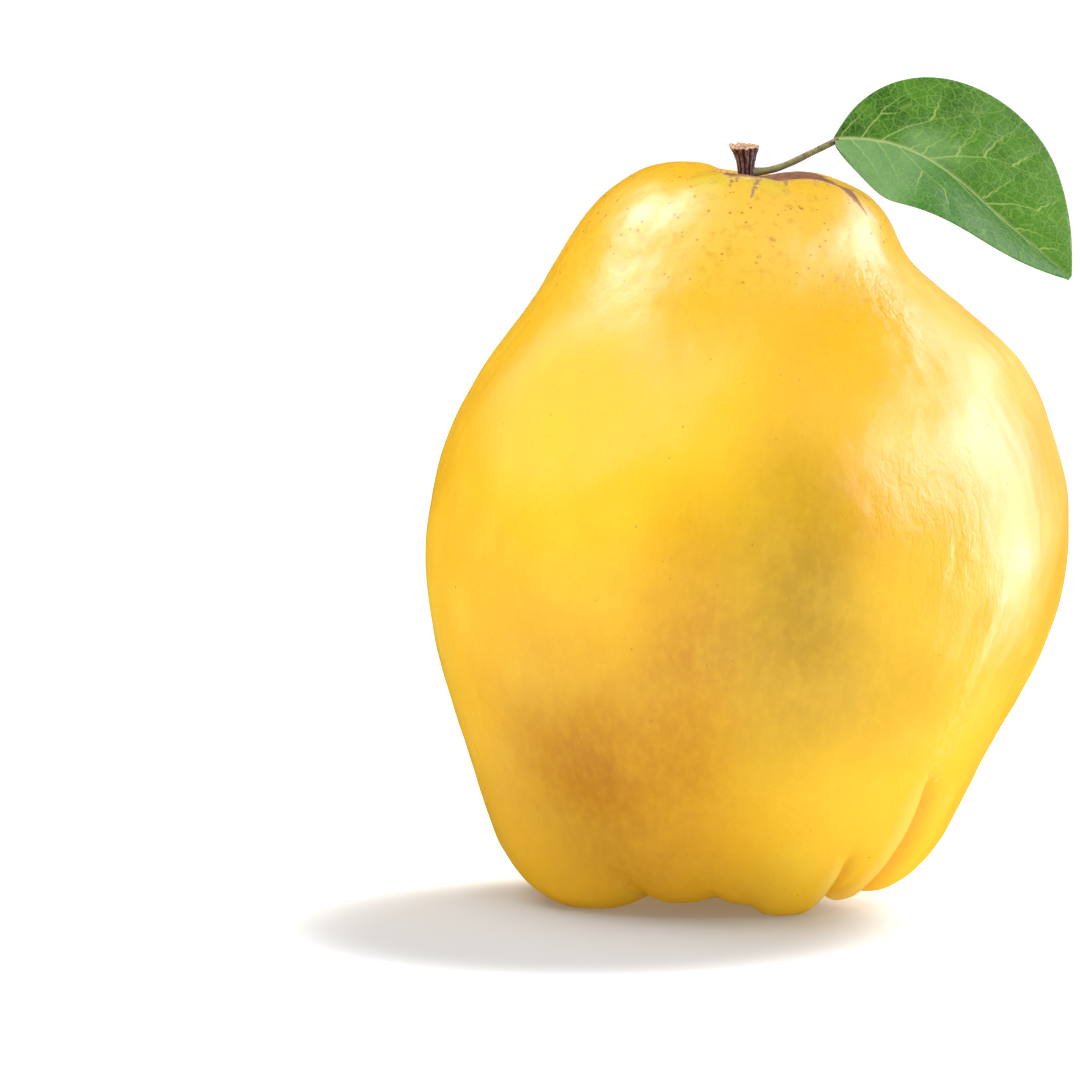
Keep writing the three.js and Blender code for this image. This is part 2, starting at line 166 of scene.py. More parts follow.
# Makes the mesh, its marks (one number a vertex, for the material) and its chart (its UV map), and
# hangs it on the frame in place of its node.
def addPiece(name, body, node, materials, marks=None, chart=None, kinds=None):
    points, faces = body[0], outward(*body)
    mesh = bpy.data.meshes.new(name)
    mesh.from_pydata((points * millimetre).tolist(), [], [f for group in faces for f in group.tolist()])
    for material in materials:
        mesh.materials.append(material)
    mesh.polygons.foreach_set("use_smooth", np.ones(len(mesh.polygons), bool))
    if kinds is not None:
        mesh.polygons.foreach_set("material_index", kinds.astype(np.int32))
    for key, values in (marks or {}).items():
        mark = mesh.attributes.new(key, "FLOAT", "POINT")
        mark.data.foreach_set("value", values.astype(np.float32).ravel())
    if chart is not None:
        corner = np.empty(len(mesh.loops), np.int32)
        mesh.loops.foreach_get("vertex_index", corner)
        mesh.uv_layers.new(name="chart").data.foreach_set("uv", chart[corner].astype(np.float32).ravel())
    mesh.update()
    piece = bpy.data.objects.new(name, mesh)
    scene.collection.objects.link(piece)
    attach(piece, "root")
    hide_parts(node)
    print("made", name, "with", sum(len(group) * (group.shape[1] - 2) for group in faces), "triangles")
    return piece


# A material's node tree, with short ways to add to it.
class Recipe:
    # An empty tree, with the piece's chart and its place in millimetres to hand.
    def __init__(self, name):
        self.material = bpy.data.materials.new(name)
        self.material.use_nodes = True
        self.tree = self.material.node_tree
        self.tree.nodes.clear()
        place = self.add("ShaderNodeTexCoord")
        self.chart = place.outputs["UV"]
        self.place = self.scaled(place.outputs["Object"], (1 / millimetre,) * 3)

    # One node. Inputs are named or numbered, and each is a value or another node's output.
    def add(self, kind, inputs=None, **settings):
        made = self.tree.nodes.new(kind)
        for key, value in settings.items():
            setattr(made, key, value)
        for key, value in (inputs or {}).items():
            if isinstance(value, bpy.types.NodeSocket):
                self.tree.links.new(value, made.inputs[key])
            else:
                made.inputs[key].default_value = value
        return made

    # A vector with its parts multiplied, to stretch a pattern along an axis.
    def scaled(self, vector, by):
        return self.add("ShaderNodeVectorMath", {0: vector, 1: by}, operation="MULTIPLY").outputs[0]

    # One of Blender's own sums on two values, such as MAXIMUM. clamp holds it between 0 and 1.
    def math(self, operation, a, b=0.0, clamp=False):
        made = self.add("ShaderNodeMath", {0: a, 1: b}, operation=operation, use_clamp=clamp)
        return made.outputs[0]

    # A value carried smoothly from one range to another, and held at both ends.
    def band(self, value, low, high, start=0.0, end=1.0):
        inputs = {"Value": value, "From Min": low, "From Max": high, "To Min": start, "To Max": end}
        return self.add("ShaderNodeMapRange", inputs, interpolation_type="SMOOTHSTEP").outputs[0]

    # Colour a where share is 0, and b where it is 1.
    def mix(self, share, a, b):
        return self.add("ShaderNodeMix", {0: share, 6: a, 7: b}, data_type="RGBA").outputs[2]

    # Two values multiplied.
    def times(self, a, b):
        return self.math("MULTIPLY", a, b)

    # Two values added.
    def plus(self, a, b):
        return self.math("ADD", a, b)

    # Noise with blotches of about the given size, in the units of the vector.
    def noise(self, vector, size, detail=3.0, roughness=0.5, distortion=0.0):
        inputs = {"Vector": vector, "Scale": 1 / size, "Detail": detail, "Roughness": roughness,
                  "Distortion": distortion}
        return self.add("ShaderNodeTexNoise", inputs).outputs[0]

    # The distance to the nearest of scattered points, or to the edge between two, in units of the size.
    def cells(self, vector, size, feature="F1"):
        made = self.add("ShaderNodeTexVoronoi", {"Vector": vector, "Scale": 1 / size}, feature=feature)
        return made.outputs["Distance"]

    # 1 at a point, falling smoothly to 0 at the edge of an egg shape round it.
    def egg(self, centre, radii, inner=0.0):
        away = self.add("ShaderNodeVectorMath", {0: self.place, 1: centre}, operation="SUBTRACT").outputs[0]
        away = self.add("ShaderNodeVectorMath", {0: away, 1: radii}, operation="DIVIDE").outputs[0]
        far = self.add("ShaderNodeVectorMath", {0: away}, operation="LENGTH").outputs["Value"]
        return self.band(far, inner, 1.0, 1.0, 0.0)

    # One of the marks that addPiece puts on the vertices.
    def mark(self, name):
        return self.add("ShaderNodeAttribute", attribute_name=name).outputs["Fac"]

    # Relief from a height in millimetres.
    def relief(self, height):
        inputs = {"Height": height, "Distance": millimetre, "Strength": 1.0}
        return self.add("ShaderNodeBump", inputs).outputs[0]

    # The surface shader, with its sockets by name.
    def finish(self, **inputs):
        shader = self.add("ShaderNodeBsdfPrincipled", {k.replace("_", " "): v for k, v in inputs.items()})
        self.add("ShaderNodeOutputMaterial", {"Surface": shader.outputs[0]})
        return self.material


# A linear colour, opaque.
def rgb(red, green, blue):
    return (red, green, blue, 1.0)


# The fruit's shape, in millimetres and degrees.
fruit = {
    # Each ring is a closed line round the axis, from the stem pit down to the calyx pit: its radius and its
    # height on the right, back, left and front, then how far a base lobe pushes it out and pulls it down,
    # how many degrees the lobes swing to the front there, and how far a top swelling lifts it.
    "rings": [
        ((0, 0, 0, 0), (101.6, 101.6, 101.6, 101.6), 0, 0, 0, 0),
        ((2.4, 2.4, 2.4, 2.4), (101.8, 101.8, 101.8, 101.8), 0, 0, 0, 0),
        ((5.2, 3.9, 3.8, 5.0), (103.6, 105.2, 106.8, 103.9), 0, 0, 0, 0.3),
        ((9.5, 9.9, 8.8, 9.2), (104.5, 105.2, 106.4, 105.8), 0, 0, 0, 1.2),
        ((15.5, 16.2, 14.8, 15.2), (102.7, 104.4, 105.7, 105.0), 0, 0, 0, 1.3),
        ((21.1, 21.8, 21.8, 21.4), (100.0, 100.7, 101.2, 99.6), 0, 0, 0, 0.9),
        ((22.5, 24.4, 27.0, 24.6), (93.2, 93.2, 93.8, 92.6), 0, 0, 0, 0.4),
        ((30.0, 30.2, 31.6, 30.2), (87.2, 86.4, 86.4, 85.6), 0, 0, 0, 0),
        ((39.5, 37.0, 38.0, 36.8), (79.8, 78.2, 78.4, 77.6), 0, 0, 0, 0),
        ((44.8, 42.4, 43.6, 42.4), (69.4, 68.8, 68.6, 68.4), 0, 0, 0, 0),
        ((47.5, 45.2, 47.0, 45.5), (57.6, 57.6, 57.4, 57.4), 0, 0, 0, 0),
        ((46.8, 44.8, 47.2, 45.3), (45.4, 45.8, 45.6, 45.6), 0, 0, 0, 0),
        ((42.3, 42.0, 45.0, 42.6), (33.6, 34.0, 33.8, 34.0), 0.2, 0, 0, 0),
        ((35.7, 37.2, 41.4, 37.8), (23.0, 23.4, 23.0, 23.4), 0.5, 0, 0, 0),
        ((31.5, 32.0, 38.2, 32.6), (14.2, 14.2, 13.8, 14.2), 1.0, 0.3, 2, 0),
        ((26.9, 27.2, 35.4, 27.2), (7.2, 6.8, 6.4, 6.8), 1.7, 1.7, 7, 0),
        ((20.5, 21.4, 30.0, 21.0), (2.9, 2.6, 2.5, 2.6), 1.0, 4.0, 13, 0),
        ((14.8, 16.0, 21.4, 15.4), (3.2, 3.2, 3.2, 3.2), -0.6, 3.2, 14, 0),
        ((12.0, 12.6, 14.4, 12.2), (7.8, 7.8, 7.8, 7.8), -1.2, 1.2, 14, 0),
        ((9.0, 9.0, 9.4, 9.0), (12.2, 12.2, 12.2, 12.2), -0.4, 0, 14, 0),
        ((4.4, 4.4, 4.4, 4.4), (14.4, 14.4, 14.4, 14.4), 0, 0, 0, 0),
        ((0, 0, 0, 0), (14.6, 14.6, 14.6, 14.6), 0, 0, 0, 0),
    ],
    # azimuth in degrees from +X towards the back, half-width, and reach
    "baseLobes": [(201, 24.5, 1), (241.5, 17, 0.42), (271, 18, 0.42), (291.5, 21, 1.05), (312, 8.5, 0.52),
                  (341, 23, 0.84), (19, 15, 0.6), (60, 25, 1), (100, 14, 0.62), (136, 24, 1), (168, 12, 0.56)],
    "baseCreaseSharpness": 10,
    "swingFrom": 340,
    "topLobes": [(186, 46, 0.95), (262, 34, 0.6), (322, 32, 0.9), (38, 34, 1.0), (104, 38, 0.3)],
    "topCreaseSharpness": 6,
    "rows": 228, "sides": 420,
    "stemPit": (0, 0, 101.55),  # its lowest point
    # creases of the skin between lobes: azimuth where it starts and where it ends, from ring, to ring,
    # depth, width on the lobe's side and width on the far side
    "creases": [(316.5, 320.0, 12.9, 16.3, 2.2, 0.9, 4.6), (300, 300, 14.2, 16.4, 0.9, 0.9, 2.4),
                (234, 233.6, 14.7, 16.3, 0.4, 0.7, 1.4), (257, 257, 15.2, 16.4, 0.25, 0.8, 1.2),
                (181, 181, 14.2, 16.2, 0.4, 0.9, 2.0), (155, 155, 14.6, 16.2, 0.3, 0.8, 1.4),
                (118, 118, 14.0, 16.2, 0.5, 0.9, 2.4), (84, 84, 14.4, 16.2, 0.35, 0.8, 1.6),
                (34, 34, 13.8, 16.3, 0.5, 0.9, 2.4), (3, 3, 14.6, 16.3, 0.35, 0.8, 1.6)],
    # the low ridge beside the deepest crease: points on the skin, height, half-width, and the half-width
    # of the pale threads on it at either end
    "ridge": [(34.6, -30.6, 46), (32.4, -30.0, 40), (30.0, -29.2, 34), (28.2, -27.0, 28), (26.2, -23.4, 21)],
    "ridgeHeight": 0.5, "ridgeWidth": 2.6, "threadWidths": (4.5, 2.0),
    # the russet that runs from the stub over the right shoulder: X, then its front and its back edge in Y,
    # how deep it lies, how far its hidden edges wander, and where its pale rim runs and how wide that is
    "band": [(-4.2, -12.5, -12.5), (-3.2, -13.6, -9.0), (-2.4, -13.6, -4.0), (-1.4, -13.5, 1.5),
             (0.4, -13.3, 5.5), (2.4, -11.4, 8.2), (4.6, -9.8, 9.4), (7.4, -9.3, 9.2), (10.0, -8.9, 7.4),
             (12.0, -8.9, 4.6), (13.2, -9.7, 1.0), (14.1, -10.8, -3.4), (14.8, -11.2, -7.2),
             (15.5, -11.5, -9.8), (16.3, -11.9, -11.4), (17.0, -12.1, -12.1)],
    "bandDepth": 0.12, "bandWander": (1.0, 1.5), "rimAt": -0.35, "rimWidth": 0.25,
    # russet streaks that run down from it, and their half-widths at the start and the end
    "streaks": [
        ([(1.1, -12.5, 105.8), (0.7, -15.0, 105.1), (0.2, -16.6, 104.3), (-0.2, -18.0, 103.3),
          (-0.5, -18.9, 102.5)], 0.60, 0.05),
        ([(-2.9, -13.4, 105.8), (-3.0, -15.1, 105.2), (-3.2, -16.3, 104.6)], 0.35, 0.06),
        ([(-1.9, -13.4, 105.9), (-2.3, -15.6, 105.1)], 0.40, 0.10),
        ([(-5.0, -8.7, 106.3), (-5.7, -13.6, 105.6)], 0.20, 0.08),
        ([(5.2, -8.4, 105.3), (5.0, -11.0, 105.1), (4.9, -13.5, 104.5)], 0.60, 0.15),
        ([(9.3, -8.6, 105.2), (9.3, -12.0, 104.5)], 0.35, 0.12),
        ([(10.9, -8.3, 104.9), (11.2, -11.4, 104.2)], 0.28, 0.10),
        ([(7.1, -9.0, 105.3), (7.3, -11.2, 104.8)], 0.22, 0.08),
        ([(3.4, -10.0, 105.4), (3.2, -13.2, 105.0)], 0.22, 0.06),
        ([(12.7, -6.6, 104.4), (14.0, -10.0, 103.3), (15.4, -11.1, 102.1), (16.5, -11.6, 100.8)], 0.40, 0.10),
        ([(14.7, -5.6, 103.5), (16.6, -10.0, 101.6), (18.0, -10.4, 99.9), (18.7, -10.4, 98.7)], 0.26, 0.10),
        ([(18.8, -10.5, 98.5), (19.0, -10.8, 97.8)], 0.20, 0.10),
        ([(12, 8, 104.6), (15, 12, 102.5), (17, 15, 99.5)], 0.7, 0.1),
        ([(-2, 10, 105.6), (-4, 15, 103.8)], 0.5, 0.1),
    ],
    # where the skin is finely wrinkled: centre and radii
    "wrinkled": [((20, -26, 84), (12, 14, 12)), ((25, -36, 56), (10, 12, 18)), ((-30, 28, 60), (14, 16, 18))],
    "swell": 0.14, "pebble": 0.03, "wrinkle": 0.045,  # how far these move the skin
}


# A value known on the right, back, left and front, carried round: its mean, a cosine and a sine of the
# azimuth, and a cosine of twice the azimuth.
def roundSides(four, azimuth):
    right, back, left, front = four
    mean, twice = (right + back + left + front) / 4, (right + left - back - front) / 4
    turnX, turnY = (right - left) / 2 * np.cos(azimuth), (back - front) / 2 * np.sin(azimuth)
    return mean + turnX + turnY + twice * np.cos(2 * azimuth)


# How far the lobes stand out: each is a parabola across its width, and a smooth maximum joins them.
def lobeRelief(lobes, azimuth, sharpness):
    total = 0
    for at, half, reach in lobes:
        away = azimuth / degree - at
        away = away - 360 * np.round(away / 360)
        total = total + np.exp(sharpness * reach * (1 - (away / half) ** 2))
    return np.log(total) / sharpness


# The plain skin: rings of radius and height, joined down the fruit by the spline.
def fruitGrid(azimuth, places):
    top = lobeRelief(fruit["topLobes"], azimuth, fruit["topCreaseSharpness"])
    swingShare = degree * np.cos(azimuth - fruit["swingFrom"] * degree)
    rows = []
    for radius, height, lobe, drop, swing, knob in fruit["rings"]:
        base = lobeRelief(fruit["baseLobes"], azimuth + swing * swingShare, fruit["baseCreaseSharpness"])
        rows.append([roundSides(radius, azimuth) + lobe * base + 0.5 * knob * top,
                     roundSides(height, azimuth) - drop * base + knob * top])
    rows = np.array(rows)
    mirror = np.array([-1, 1])[:, None]
    radius, height = np.moveaxis(splineRows(rows, places, rows[1] * mirror, rows[-2] * mirror), 1, 0)
    return np.stack([radius * np.cos(azimuth), radius * np.sin(azimuth), height], -1)


# Places down the rings at even steps along the skin.
def evenPlaces(count):
    fine = np.linspace(0.02, len(fruit["rings"]) - 1.02, 1500)
    line = fruitGrid(np.linspace(0, 2 * math.pi, 8, endpoint=False), fine)
    steps = np.linalg.norm(np.diff(line, axis=0), axis=-1).mean(1)
    run = np.concatenate([[0], np.cumsum(steps)])
    return np.interp(np.linspace(0, run[-1], count), run, fine)


# The distance of each point from a line, divided by the half-width that the line has there.
def nearLine(points, path, widths, parts=60):  # widths: at the start and at the end
    share = np.linspace(0, 1, parts)
    width = np.interp(share, [0, 1], widths)
    best = np.full(points.shape[:-1], 1e9)
    for middle, half in zip(pathAt(path, share), width):
        best = np.minimum(best, np.linalg.norm(points - middle, axis=-1) / half)
    return best


# The way the skin faces: square to the steps down it and round it, outwards on the whole.
def fruitNormals(grid):
    around = np.roll(grid, -1, 1) - np.roll(grid, 1, 1)
    normal = unit(np.cross(np.gradient(grid, axis=0), around))
    return normal * np.sign((normal * (grid - [0, 0, 50])).sum(-1).mean())


# Broad swells, fine pebbling, and wrinkles in patches, each a sum of waves of one length.
def liveliness(grid):
    move = fruit["swell"] * unevenness(grid, 17, 3)
    move += fruit["pebble"] * unevenness(grid, 4.2, 5, (1, 1, 0.6))
    patch = 0.35 * smooth(unevenness(grid, 30, 8), 0.2, 1.2)
    for centre, radii in fruit["wrinkled"]:
        patch = np.maximum(patch, 1 - smooth(np.linalg.norm((grid - centre) / radii, axis=-1), 0.3, 1))
    return move + fruit["wrinkle"] * unevenness(grid, 3.1, 11, (1, 1, 0.45)) * patch


# Creases: a bell-shaped valley across the line, with a lip half as high on the lobe's side, both fading
# at the ends. Gives how far the skin moves, and a mark from -1 in a valley to 1 on a lip.
def creaseFields(azimuth, places, radius):
    move, fold = np.zeros_like(radius), np.zeros_like(radius)
    turn, place = azimuth[None, :] / degree, places[:, None]
    for first, last, start, end, depth, width, farWidth in fruit["creases"]:
        away = turn - first - (last - first) * np.clip((place - start) / (end - start), 0, 1)
        away = (away - 360 * np.round(away / 360)) * degree * radius
        fade = smooth(place, start, start + 0.9) * (1 - smooth(place, end, end + 0.8))
        valley = np.exp(-(away / np.where(away < 0, width, farWidth)) ** 2)
        lip = np.exp(-((away + 2.6 * width) / (2.1 * width)) ** 2)
        move += fade * depth * (0.5 * lip - valley)
        fold += fade * min(depth, 1) * (lip - valley)
    return move, fold


# Millimetres inside the russet's edge: the lesser of the distances to its front and its back edge in Y.
# Waves move the edges, but not where the photograph shows them.
def insideBand(grid):
    bandX, bandFront, bandBack = np.array(fruit["band"]).T
    wander = unevenness(grid, 4.5, 21) * smooth(grid[..., 1], -9, -4)
    acrossX, acrossY = fruit["bandWander"]
    x, y = grid[..., 0] + acrossX * wander, grid[..., 1]
    front, back = (np.interp(x, bandX, edge, -99, -99) for edge in (bandFront, bandBack))
    return np.minimum(y - front, back + acrossY * wander - y)


# The skin with its life: the plain skin moved along its normal by swells, pebbling and wrinkles, by the
# creases and the ridge, and a little inwards where the russet is. The marks tell the material where
# russet, its rim, the folds, the pale threads and the hollow underneath are.
def makeFruit(material):
    azimuth = np.linspace(0, 2 * math.pi, fruit["sides"], endpoint=False)
    places = evenPlaces(fruit["rows"])
    grid = fruitGrid(azimuth, places)
    normal = fruitNormals(grid)
    radius, height = np.hypot(grid[..., 0], grid[..., 1]), grid[..., 2]
    calm = smooth(radius, 3, 12)  # the pits stay plain
    upper = smooth(height, 92, 98)
    creaseMove, fold = creaseFields(azimuth, places, radius)
    inside = insideBand(grid)
    ridge = np.exp(-nearLine(grid, fruit["ridge"], [fruit["ridgeWidth"]] * 2) ** 2)
    move = liveliness(grid) * calm + creaseMove + fruit["ridgeHeight"] * ridge
    move -= fruit["bandDepth"] * smooth(inside, 0, 4) * upper
    russet = np.clip(0.5 + inside / 3, 0, 1) * upper  # half at the russet's edge, and at a streak's
    for path, first, last in fruit["streaks"]:
        russet = np.maximum(russet, 0.72 - 0.22 * nearLine(grid, path, [first, last]))
    russet = np.maximum(russet, 0.44 * (1 - smooth(radius, 4, 11)) * upper)  # specks in the stem pit
    rim = np.exp(-((inside - fruit["rimAt"]) / fruit["rimWidth"]) ** 2) * upper * (grid[..., 1] < -6)
    threads = np.exp(-nearLine(grid, fruit["ridge"], fruit["threadWidths"]) ** 2)
    hollow = (1 - smooth(radius, 6, 16)) * (height < 30)
    marks = {"russet": (russet, 0.5, 0), "hollow": (hollow, 0, 1), "rim": (rim, 0, 0),
             "threads": (threads, 0, 0), "fold": (fold, 0, 0)}  # each with its values at the two end points
    cup = (1 - smooth(radius, 2.2, 3.0)) * (height < 40)
    grid = grid + normal * move[..., None]
    grid[..., 2] = np.maximum(grid[..., 2] + 3.0 * cup, 0)  # the hollow of the calyx cup, and the ground
    body = roundBody(grid, fruit["stemPit"], (0, 0, grid[-1, :, 2].mean()))
    return addPiece("quince_skin", body, "fruit", [material],
                    {name: np.append(values, [first, last]) for name, (values, first, last) in marks.items()})


# Colours are linear. Patches: colour, centre, radii of the egg it fills, and how much of it at most.
skinLook = {
    "rich": rgb(0.95, 0.56, 0.010), "deep": rgb(0.91, 0.48, 0.007), "pale": rgb(0.96, 0.62, 0.026),
    # cream is partly a painted sheen
    "creamAndPaintedSheen": rgb(0.92, 0.57, 0.075), "olive": rgb(0.46, 0.25, 0.003), "ochre": rgb(0.52, 0.18, 0.002),
    "lime": rgb(0.66, 0.60, 0.020), "mottle": rgb(0.58, 0.33, 0.008), "threads": rgb(0.95, 0.76, 0.26),
    # lip is a painted highlight for the folds' lips, and valley a painted shade for their hollows
    "lip": rgb(0.97, 0.70, 0.14), "valley": rgb(0.70, 0.29, 0.006),
    "russet": rgb(0.155, 0.045, 0.016), "russetPale": rgb(0.30, 0.105, 0.040), "rim": rgb(0.85, 0.62, 0.22),
    "raggedness": 0.85,  # of the russet's edges
    "dot": rgb(0.36, 0.21, 0.010), "fleck": rgb(0.52, 0.20, 0.008), "smudge": rgb(0.50, 0.21, 0.018),
    # olive on the front: partly a green tint, partly painted shade down its middle
    "patches": [("olive", (7, -45, 50), (17, 26, 40), 0.85), ("olive", (-2, -42, 40), (20, 20, 34), 0.55),
                ("olive", (22, -40, 33), (20, 18, 22), 0.50), ("olive", (-30, 30, 62), (22, 22, 26), 0.5),
                # ochre on the front and low on the left: painted shade
                ("olive", (34, 26, 44), (18, 20, 24), 0.4), ("ochre", (-9, -42, 40), (11, 22, 34), 0.70),
                ("ochre", (-24, -34, 22), (30, 26, 30), 0.90), ("ochre", (-12, -28, 6), (22, 18, 14), 0.50),
                # cream on the top: partly pale skin, partly a painted sheen
                ("ochre", (10, 40, 14), (30, 22, 20), 0.6), ("creamAndPaintedSheen", (4, -20, 100), (30, 20, 17), 0.75),
                ("lime", (1.5, -13, 104.5), (6, 6, 4), 0.7), ("lime", (-6, -14, 105), (7, 6, 4), 0.6),
                ("lime", (0, 8, 102), (26, 22, 8), 0.4)],
    # single marks: colour, centre, reach, and how much
    "spots": [("fleck", (7.0, -17.2, 101.9), 0.6, 1.0), ("fleck", (6.3, -18.0, 101.4), 0.35, 0.9),
              ("smudge", (2.7, -22.2, 97.6), 0.6, 0.8), ("smudge", (0.7, -23.7, 95.3), 0.55, 0.7),
              ("smudge", (0.4, -24.2, 94.4), 0.5, 0.7), ("fleck", (9.2, -14.8, 103.1), 0.4, 0.8),
              ("fleck", (-5.7, -13.6, 105.6), 0.3, 0.6), ("fleck", (23.8, -21.8, 15.7), 0.7, 0.7),
              ("threads", (27.0, -21.2, 19.2), 1.0, 0.8), ("smudge", (6.1, -35.2, 78.9), 0.35, 0.7),
              ("smudge", (10.0, -36.8, 74.2), 0.4, 0.7)],
    # how rough the skin is at its least and at its most, how much rougher russet is, and where fine down
    # is left and dulls the shine: centre, radii, and how much rougher
    "roughness": (0.33, 0.41), "russetRoughness": 0.34, "downy": [((-28, -30, 76), (26, 24, 17), 0.40)],
    # relief in millimetres, and where the ripples are strongest: centre and radii
    "pebble": 0.055, "grain": 0.012, "ripple": 0.26, "threadRelief": 0.10, "cork": 0.16, "pore": -0.03,
    "rippled": [((19, -22, 90), (12, 14, 14)), ((24, -37, 58), (14, 16, 21))],
}


# The skin: a ripe yellow with deeper and paler blotches, patches of green and ochre, some of them left by
# ripening, mottling and pores, flecks on the shoulders, single marks, and russet with ragged edges. The ochre
# patches on the front and low on the left are painted shade, the olive ones on the front are partly painted
# shade, the cream one on the top is partly a painted sheen, and the folds get a painted highlight on their lips
# and painted shade in their valleys.
def skinMaterial():
    r = Recipe("skin")
    p = r.place
    look = skinLook
    middling = r.noise(p, 11, 4)
    fine = r.noise(r.scaled(p, (1, 1, 0.55)), 1.3, 4, 0.6)
    colour = r.mix(r.band(r.noise(p, 36, 3), 0.36, 0.66), look["deep"], look["rich"])
    colour = r.mix(r.band(middling, 0.50, 0.75, 0, 0.40), colour, look["pale"])
    warp = r.noise(p, 16, 4, 0.6)
    for name, centre, radii, most in look["patches"]:
        share = r.times(r.egg(centre, radii), r.band(warp, 0.28, 0.62, 0.60, 1.0))
        colour = r.mix(r.times(share, most), colour, look[name])
    # fine mottling under the skin, and pale threads along the ridge
    colour = r.mix(r.band(fine, 0.35, 0.75, 0.0, 0.16), colour, look["pale"])
    colour = r.mix(r.band(r.noise(p, 0.55, 2), 0.52, 0.80, 0.0, 0.14), colour, look["ochre"])
    # painted highlight on the lips of the folds, and painted shade in their valleys
    colour = r.mix(r.band(r.mark("fold"), 0.1, 0.9, 0.0, 0.45), colour, look["lip"])
    colour = r.mix(r.band(r.mark("fold"), -0.9, -0.05, 0.55, 0.0), colour, look["valley"])
    threads = r.noise(r.scaled(p, (1, 1, 0.22)), 0.7, 3, 0.6)
    threadShare = r.times(r.mark("threads"), r.band(threads, 0.42, 0.60))
    colour = r.mix(r.times(threadShare, 0.22), colour, look["threads"])
    # the small dark pores everywhere, and larger orange-brown flecks on the shoulders
    poreSize = r.band(r.noise(p, 4, 1), 0.35, 0.7, 0.012, 0.042)
    dots = r.band(r.math("SUBTRACT", r.cells(p, 3.1), poreSize), 0.0, 0.03, 1.0, 0.0)
    colour = r.mix(r.times(dots, 0.6), colour, look["dot"])
    height = r.add("ShaderNodeSeparateXYZ", {0: p}).outputs[2]
    high = r.band(height, 80, 97)
    mottles = r.times(r.band(r.noise(p, 1.5, 4, 0.6), 0.50, 0.72, 0.0, 0.50), high)
    colour = r.mix(mottles, colour, look["mottle"])
    fleckSize = r.times(r.band(r.noise(p, 3, 1), 0.36, 0.66, 0.08, 0.19), high)
    ragged = r.plus(r.cells(p, 1.4), r.times(r.noise(p, 0.3, 2), 0.06))
    fleck = r.band(r.math("SUBTRACT", ragged, fleckSize), 0.0, 0.05, 1.0, 0.0)
    colour = r.mix(r.times(r.times(fleck, high), 0.9), colour, look["fleck"])
    rough = r.noise(p, 0.45, 3, 0.6)
    for name, centre, reach, most in look["spots"]:
        share = r.times(r.egg(centre, (reach,) * 3, 0.45), r.band(rough, 0.44, 0.58, 0.1, 1.0))
        colour = r.mix(r.times(share, most), colour, look[name])
    # russet, with a ragged edge and a net of paler cork, thinner in the streaks
    torn = r.math("SUBTRACT", r.noise(r.scaled(p, (1, 1, 0.5)), 0.55, 5, 0.65), 0.5)
    russet = r.band(r.plus(r.mark("russet"), r.times(torn, look["raggedness"])), 0.42, 0.62)
    bark = r.mix(r.band(r.noise(p, 0.8, 3), 0.35, 0.7), look["russet"], look["russetPale"])
    thick = r.band(r.mark("russet"), 0.45, 0.95, 0.60, 0.94)
    colour = r.mix(r.times(russet, thick), colour, bark)
    colour = r.mix(r.times(r.mark("rim"), 0.7), colour, look["rim"])
    colour = r.mix(r.times(r.mark("hollow"), 0.55), colour, look["ochre"])
    # relief: pebbling, fine grain, ripples in two places and the threads, raised cork, sunken pores
    pebble = r.times(r.noise(r.scaled(p, (1, 1, 0.7)), 1.9, 2, 0.5), look["pebble"])
    grain = r.times(r.noise(p, 0.45, 2), look["grain"])
    rippled = r.math("MAXIMUM", *(r.egg(centre, radii) for centre, radii in look["rippled"]))
    rippled = r.times(r.plus(r.times(rippled, 0.9), 0.1), look["ripple"])
    ripple = r.times(r.noise(r.scaled(p, (1, 1, 0.6)), 1.3, 2, 0.5, 0.4), rippled)
    ripple = r.plus(ripple, r.times(r.times(threads, r.mark("threads")), look["threadRelief"]))
    lift = r.times(r.times(russet, r.noise(p, 0.6, 3)), look["cork"])
    pit = r.times(dots, look["pore"])
    surface = r.plus(r.plus(pebble, grain), r.plus(r.plus(lift, pit), ripple))
    dull = r.plus(r.band(middling, 0.3, 0.7, *look["roughness"]), r.times(russet, look["russetRoughness"]))
    for centre, radii, most in look["downy"]:
        dull = r.plus(dull, r.times(r.egg(centre, radii, 0.3), most))
    return r.finish(Base_Color=colour, Roughness=dull, Normal=r.relief(surface), IOR=1.5,
                    Subsurface_Weight=0.06, Subsurface_Radius=(1.0, 0.45, 0.1), Subsurface_Scale=0.003)


makeFruit(skinMaterial())


# The stem stub. Stations give height, radius and lean towards +X, from the root up. dish is how deep the
# cut face is hollowed, and tilt how steeply it slants.
stub = {
    "stations": [(97.6, 0.95, 0), (99.0, 1.1, -0.1), (102.0, 1.12, -0.2), (104.8, 1.06, -0.3),
                 (106.6, 1.16, -0.36), (107.9, 1.38, -0.42), (108.9, 1.8, -0.55), (109.6, 2.1, -0.7)],
    "ribs": 13, "ribHeight": 0.15, "dish": 0.5, "tilt": 0.12, "rows": 160, "sides": 320, "capRows": 30,
    # pale is a painted highlight along the ribs
    "dark": rgb(0.042, 0.014, 0.012), "brown": rgb(0.15, 0.055, 0.042), "pale": rgb(0.38, 0.25, 0.25),
    "groove": rgb(0.26, 0.052, 0.032), "fibreDark": rgb(0.50, 0.22, 0.08), "fibre": rgb(0.86, 0.58, 0.33),
    "heartDark": rgb(0.09, 0.045, 0.035), "heart": rgb(0.58, 0.47, 0.40),
}


